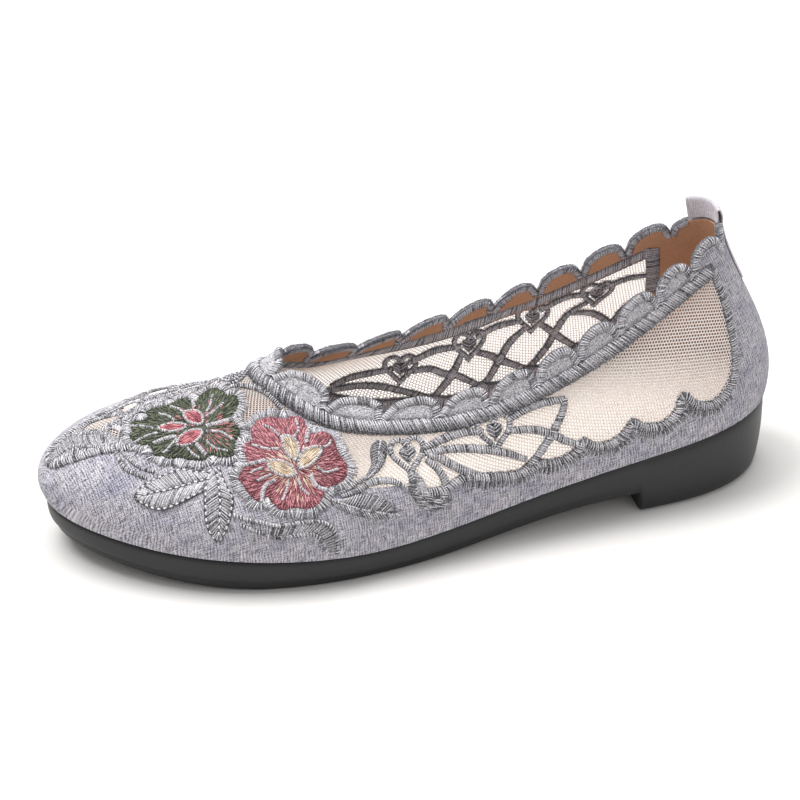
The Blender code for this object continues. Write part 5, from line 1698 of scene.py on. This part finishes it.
def buildVines():
    work = newWork()
    for rows, width in vines.values():
        line = flow(rows)
        share = np.linspace(0.0, 1.0, len(evenly(line, vinePitch)))
        swell = width * (0.65 + 0.35 * np.sin(math.pi * share))
        satin(
            work, line, swell, rise=0.75, pitch=vinePitch, slant=0.5, ragged=0.12, depth=openwork["netDepth"],
            back=1, padNumber=1,
        )
    centre = toeGround["centre"]
    shapes = [flatten(centre, pattern(rows)) for rows in (toeGround["outline"], *toeGround["patches"])]
    fillShape(
        work, centre, shapes[0], toeGround["angle"], pitch=threadPitch, rise=0.3, shades=(0.32, 0.95),
        lift=0.12, longest=3.4, openings=shapes[1:],
    )
    # dark fill of the leaf at the toe, between its two edges
    low, high = (evenly(flow(vines[k][0]), 0.25) for k in ("toeLeafLow", "toeLeafHigh"))
    count = 120
    low = low[np.linspace(0, len(low) * 0.86, count).astype(int)]
    high = high[np.linspace(0, len(high) * 0.86, count).astype(int)]
    lean = 3
    n = count - lean
    addStrands(
        work, low[:-lean], high[lean:], rng.uniform(0.45, 0.65, n), rise=0.3, shade=streaks(n, 0.04, 0.6),
        lift=0.35, stations=6,
    )
    core = evenly(0.5 * (low + high), 1.0)
    addPadding(work, core, half=2.6, rise=0.15, depth=openwork["netDepth"], number=1)
    for i, reach in enumerate(rose["rings"]):
        turns = np.linspace(rose["from"] + 25 * i, rose["to"] + 25 * i, 16)
        ring = motif(rose["centre"], polar(np.full(16, reach), turns))
        satin(
            work, ring, rose["width"], rise=0.6, pitch=0.52, slant=0.5, ragged=0.08,
            depth=openwork["netDepth"], padNumber=1,
        )
    # looser stitches on the linen just under the window's border
    below = flow(outerEdge[(outerEdge[:, 0] > 34.0) & (outerEdge[:, 0] < 136.0)])
    row = evenly(sideways(below, -2.5), 0.75)
    n = len(row)
    start = sideways(row, 1.3 + rng.uniform(-0.2, 0.2, n))
    end = sideways(row, -1.3 + rng.uniform(-0.5, 0.4, n))
    addStrands(work, start, end, rng.uniform(0.4, 0.7, n), rise=0.3, shade=streaks(n, 0.25, 0.75), lift=0.05)
    return stitchPiece(work, "vineStitch", greyWork)


vinePiece = buildVines()

# Pull tab: a strip folded over the heel's edge (height above the collar line, reach outside the wall)
pullTab = {
    "width": 16.4,
    "centre": -5.0,
    "thick": 0.7,
    "path": (
        (-19.0, 0.72), (-13.0, 0.75), (-7.0, 0.78), (-2.0, 0.85), (2.4, 1.05), (5.2, 1.05), (7.6, 0.85),
        (9.0, 0.55), (9.6, -0.15), (9.0, -0.85), (7.6, -1.1), (5.2, -1.2), (2.5, -1.15),
    ),
    "slant": (1.22, 0.86),
    "lean": 1.0,
    "columns": 29,
    "stepsBetween": 5,
    "flat": (0.0172, 0.0375),
}


def buildTab():
    knots = np.array(pullTab["path"])
    ends = np.vstack([2 * knots[0] - knots[1], knots, 2 * knots[-1] - knots[-2]])
    path = []
    for i in range(1, len(ends) - 2):
        for t in np.linspace(0.0, 1.0, pullTab["stepsBetween"] + 1)[:-1]:
            path.append(bendThrough(ends[i - 1 : i + 3], t))
    path = np.array(path + [knots[-1]])
    ahead = np.gradient(path, axis=0)
    inward = np.column_stack([ahead[:, 1], -ahead[:, 0]])
    inward /= np.linalg.norm(inward, axis=1, keepdims=True)
    share = np.linspace(-1.0, 1.0, pullTab["columns"])
    thin = 1.0 - 0.55 * np.abs(share) ** 10
    grids = []
    for depth in (0.0, 1.0):
        sheet = []
        for s, t in zip(share, thin):
            row = path + inward * pullTab["thick"] * (0.5 + (depth - 0.5) * t)
            at = collarLength + pullTab["centre"] + s * pullTab["width"] / 2.0
            grown = pullTab["slant"][0] + (pullTab["slant"][1] - pullTab["slant"][0]) * 0.5 * (s + 1.0)
            above = np.maximum(row[:, 0] - 2.0, 0.0)
            uv = collarAt(np.full(len(row), at), row[:, 0] + above * (grown - 1.0))
            point, outward = wallFrame(uv[:, 0], uv[:, 1])
            reach = row[:, 1] + pullTab["lean"] * 0.5 * (s + 1.0) * ease(above / 5.0)
            sheet.append(point + outward * reach[:, None])
        grids.append(np.array(sheet))
    rows, count = len(share), len(path)
    index = np.arange(rows * count).reshape(rows, count)
    corners = (index[:-1, :-1], index[:-1, 1:], index[1:, 1:], index[1:, :-1])
    a, b, c, d = (corner.ravel() for corner in corners)
    triangles = np.vstack([np.stack([a, b, c], 1), np.stack([a, c, d], 1)])
    points, groups = closeSheet(grids[0].reshape(-1, 3), grids[1].reshape(-1, 3), triangles)
    reach = np.append(0.0, np.cumsum(np.linalg.norm(np.diff(path, axis=0), axis=1)))
    across = np.repeat(share * pullTab["width"] / 2.0, count)
    cloth = np.stack([across, np.tile(reach, rows), np.zeros(rows * count)], 1)
    cloth = np.vstack([cloth, cloth])
    piece = makePiece("pullTab", points, groups, [finishes["tape"]], cloth=cloth, sharp=60.0)
    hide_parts("pull_loop")
    print("pull tab folded")


buildTab()

# Sole: side rings from the top edge down (drop share, insets at the heel, ball and toe), then a grooved tread
sole = {
    "rings": (
        (0.00, 1.9, 1.9, 2.0), (0.03, 1.3, 1.3, 1.4), (0.07, 0.8, 0.8, 0.9), (0.12, 0.46, 0.46, 0.56),
        (0.20, 0.32, 0.32, 0.46), (0.40, 0.3, 0.3, 0.56), (0.55, 0.42, 0.36, 0.8), (0.64, 0.55, 0.5, 1.1),
        (0.68, 0.65, 0.95, 1.6), (0.71, 0.72, 1.7, 2.4), (0.88, 1.2, 1.9, 2.7), (0.96, 1.7, 2.1, 3.0),
        (1.00, 2.8, 2.6, 3.6),
    ),
    "ballRamp": (66.0, 30.0),
    "toeRamp": (185.0, 60.0),
    "stations": 420,
    "grooveEvery": 7.0,
    "grooveDeep": 0.9,
    "treadGrain": 2.0,
    "topGrain": 6.0,
}


def solePlan(u, inset):
    foot = ribs(u)[:, :2]
    ahead = ribs(u + 1e-4)[:, :2] - ribs(u - 1e-4)[:, :2]
    outward = np.stack([-ahead[:, 1], ahead[:, 0]], axis=1)
    outward /= np.linalg.norm(outward, axis=1, keepdims=True)
    return foot - outward * np.broadcast_to(inset, len(u))[:, None]


def soleStations():
    u = np.linspace(0.0, 1.0, sole["stations"] + 1)[:-1]
    fine = np.linspace(0.0, 1.0, 20001)
    x = ribs(fine)[:, 0]
    marks = []
    for side in (fine < 0.5, fine > 0.5):
        for at in (last["breastX"], last["breastX"] + last["breastRun"]):
            marks.append(fine[side][np.argmin(np.abs(x[side] - at))])
    u = u[np.abs(u[:, None] - np.array(marks)[None]).min(axis=1) > 0.4 / sole["stations"]]
    return np.sort(np.append(u, marks)), marks


def treadLevel(points, edge):
    x, y = points[:, 0], points[:, 1]
    flat = np.where(x < last["breastX"] + 0.5 * last["breastRun"], 0.0, soleUnder(x))
    wave = (x + 2.4 * np.abs(((y / 9.0) % 2.0) - 1.0) * 3.0) / sole["grooveEvery"]
    groove = ease((0.24 - np.abs(wave % 1.0 - 0.5)) / 0.12)
    return flat + sole["grooveDeep"] * groove * ease((edge - 3.0) / 2.0)


def buildSole():
    u, marks = soleStations()
    ball = ease((ribs(u)[:, 0] - sole["ballRamp"][0]) / sole["ballRamp"][1])
    toe = ease((ribs(u)[:, 0] - sole["toeRamp"][0]) / sole["toeRamp"][1])
    heel = ribs(u)[:, 0] < last["breastX"] + 0.5 * last["breastRun"]
    rings = []
    for drop, rear, middle, front in sole["rings"]:
        inset = rear + (middle - rear) * ball
        plan = solePlan(u, inset + (front - inset) * toe)
        top = soleTop(plan[:, 0])
        under = np.where(heel, 0.0, soleUnder(plan[:, 0]))
        rings.append(np.column_stack([plan, top + (under - top) * drop]))
    count = len(u)
    points = list(np.vstack(rings))
    i = np.arange(count)
    j = (i + 1) % count
    quads = np.vstack([
        np.stack([k * count + i, k * count + j, (k + 1) * count + j, (k + 1) * count + i], 1)
        for k in range(len(rings) - 1)
    ])
    cross = [int(np.argmin(np.abs(u - m))) for m in marks]
    faces = []
    for ring, lower in ((0, False), (len(rings) - 1, True)):
        rim = rings[ring][:, :2]
        outlines = [rim]
        if lower:
            outlines += [rim[[cross[0], cross[2]]], rim[[cross[1], cross[3]]]]
        grain = sole["treadGrain"] if lower else sole["topGrain"]
        places, triangles = triangulate(outlines, grain, lambda p, rim=rim: within(rim, p))
        near = np.array([np.linalg.norm(rim - p, axis=1).min() for p in places])
        level = treadLevel(places, near) if lower else soleTop(places[:, 0])
        index = []
        for p, gap, z in zip(places, near, level):
            if gap < 0.01:
                index.append(ring * count + int(np.linalg.norm(rim - p, axis=1).argmin()))
            else:
                index.append(len(points))
                points.append(np.array([p[0], p[1], z]))
        triangles = np.array(index)[triangles]
        faces.append(triangles[:, ::-1] if lower else triangles)
    groups = [quads, np.vstack(faces)]
    piece = makePiece("soleRubber", np.array(points), groups, [finishes["rubber"]], sharp=38.0)
    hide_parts("outsole")
    print("sole moulded:", 2 * len(quads) + sum(len(f) for f in faces), "triangles")


buildSole()

# Insole: a soft cloth-covered sheet, low at its rim and a little dished at heel and ball
insole = {"inset": 2.0, "thick": 2.6, "rimDrop": 1.1, "dish": 0.5, "grain": 4.0}


def buildInsole():
    u = np.linspace(0.0, 1.0, 241)[:-1]
    rim = solePlan(u, insole["inset"])
    places, triangles = triangulate([rim], insole["grain"], lambda p: within(rim, p))
    edge = np.array([np.linalg.norm(rim - p, axis=1).min() for p in places])
    level = soleTop(places[:, 0]) + last["seatGap"]
    crown = insole["thick"] - insole["rimDrop"] * (1.0 - ease(edge / 3.0))
    crown = crown - insole["dish"] * ease((edge - 6.0) / 16.0)
    top, under = np.column_stack([places, level + crown]), np.column_stack([places, level])
    points, groups = closeSheet(top, under, triangles)
    cloth = np.column_stack([places, np.zeros(len(places))])
    cloth = np.vstack([cloth, cloth])
    piece = makePiece("insoleCloth", points, groups, [finishes["insole"]], cloth=cloth, sharp=60.0)
    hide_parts("insole")
    print("insole laid")


buildInsole()

# Camera at the photo's angle: turn and tilt in degrees, distance and aim in table millimetres
view = {
    "turn": 15.37,
    "tilt": 32.0,
    "roll": 0.33,
    "distance": 910.31,
    "aim": (131.71, 0.0, 37.73),
    "focalPixels": 2807.68,
    "framePixels": 800,
}


def addCamera():
    turn, tilt, roll = (math.radians(view[k]) for k in ("turn", "tilt", "roll"))
    back = Vector((math.sin(turn) * math.cos(tilt), math.cos(turn) * math.cos(tilt), math.sin(tilt)))
    level = Vector((-math.cos(turn), math.sin(turn), 0.0))
    upright = back.cross(level)
    right = level * math.cos(roll) + upright * math.sin(roll)
    up = upright * math.cos(roll) - level * math.sin(roll)
    aim = Vector(view["aim"]) - Vector((last["originX"], last["originY"], 0.0))
    spot = (aim + back * view["distance"]) * 0.001
    data = bpy.data.cameras.new("photoCamera")
    data.sensor_width = 36.0
    data.lens = view["focalPixels"] / view["framePixels"] * data.sensor_width
    data.clip_start, data.clip_end = 0.05, 50.0
    camera = bpy.data.objects.new("photoCamera", data)
    camera.matrix_world = Matrix((
        (right.x, up.x, back.x, spot.x),
        (right.y, up.y, back.y, spot.y),
        (right.z, up.z, back.z, spot.z),
        (0, 0, 0, 1),
    ))
    bpy.context.scene.collection.objects.link(camera)
    bpy.context.scene.camera = camera


addCamera()

# Studio: pale floor, white surroundings and broad soft lamps (place, aim, size in metres, watts)
studio = {
    "floor": (0.74, 0.725, 0.71),
    "floorReach": 8.0,
    "floorDrop": 0.0003,
    "surround": 0.62,
    "lamps": {
        "keyLamp": ((0.6, -0.25, 1.35), (0.04, 0.0, 0.03), 0.8, 18.0),
        "fillLamp": ((-0.55, 1.15, 0.75), (0.0, 0.0, 0.02), 0.9, 1.8),
        "topLamp": ((-0.1, -0.35, 1.4), (0.0, 0.0, 0.02), 1.2, 14.5),
    },
}


def addStudio():
    scene = bpy.context.scene
    mesh = bpy.data.meshes.new("floor")
    reach = studio["floorReach"]
    corners = [(-reach, -reach, 0), (reach, -reach, 0), (reach, reach, 0), (-reach, reach, 0)]
    mesh.from_pydata(corners, [], [(0, 1, 2, 3)])
    material, _, shader = newFinish("paleFloor", 0.9)
    shader.inputs["Base Color"].default_value = (*studio["floor"], 1.0)
    shader.inputs["Specular IOR Level"].default_value = 0.1
    mesh.materials.append(material)
    floor = bpy.data.objects.new("floor", mesh)
    floor.location.z = -studio["floorDrop"]
    scene.collection.objects.link(floor)
    world = bpy.data.worlds.new("studio")
    world.use_nodes = True
    world.node_tree.nodes["Background"].inputs["Color"].default_value = (1.0, 1.0, 1.0, 1.0)
    world.node_tree.nodes["Background"].inputs["Strength"].default_value = studio["surround"]
    scene.world = world
    for name, (spot, aim, size, power) in studio["lamps"].items():
        lamp = bpy.data.lights.new(name, "AREA")
        lamp.shape = "DISK"
        lamp.size = size
        lamp.energy = power
        holder = bpy.data.objects.new(name, lamp)
        holder.location = spot
        holder.rotation_euler = (Vector(aim) - Vector(spot)).to_track_quat("-Z", "Y").to_euler()
        scene.collection.objects.link(holder)
    scene.view_settings.view_transform = "Standard"
    scene.view_settings.look = "None"


addStudio()
print("studio set")
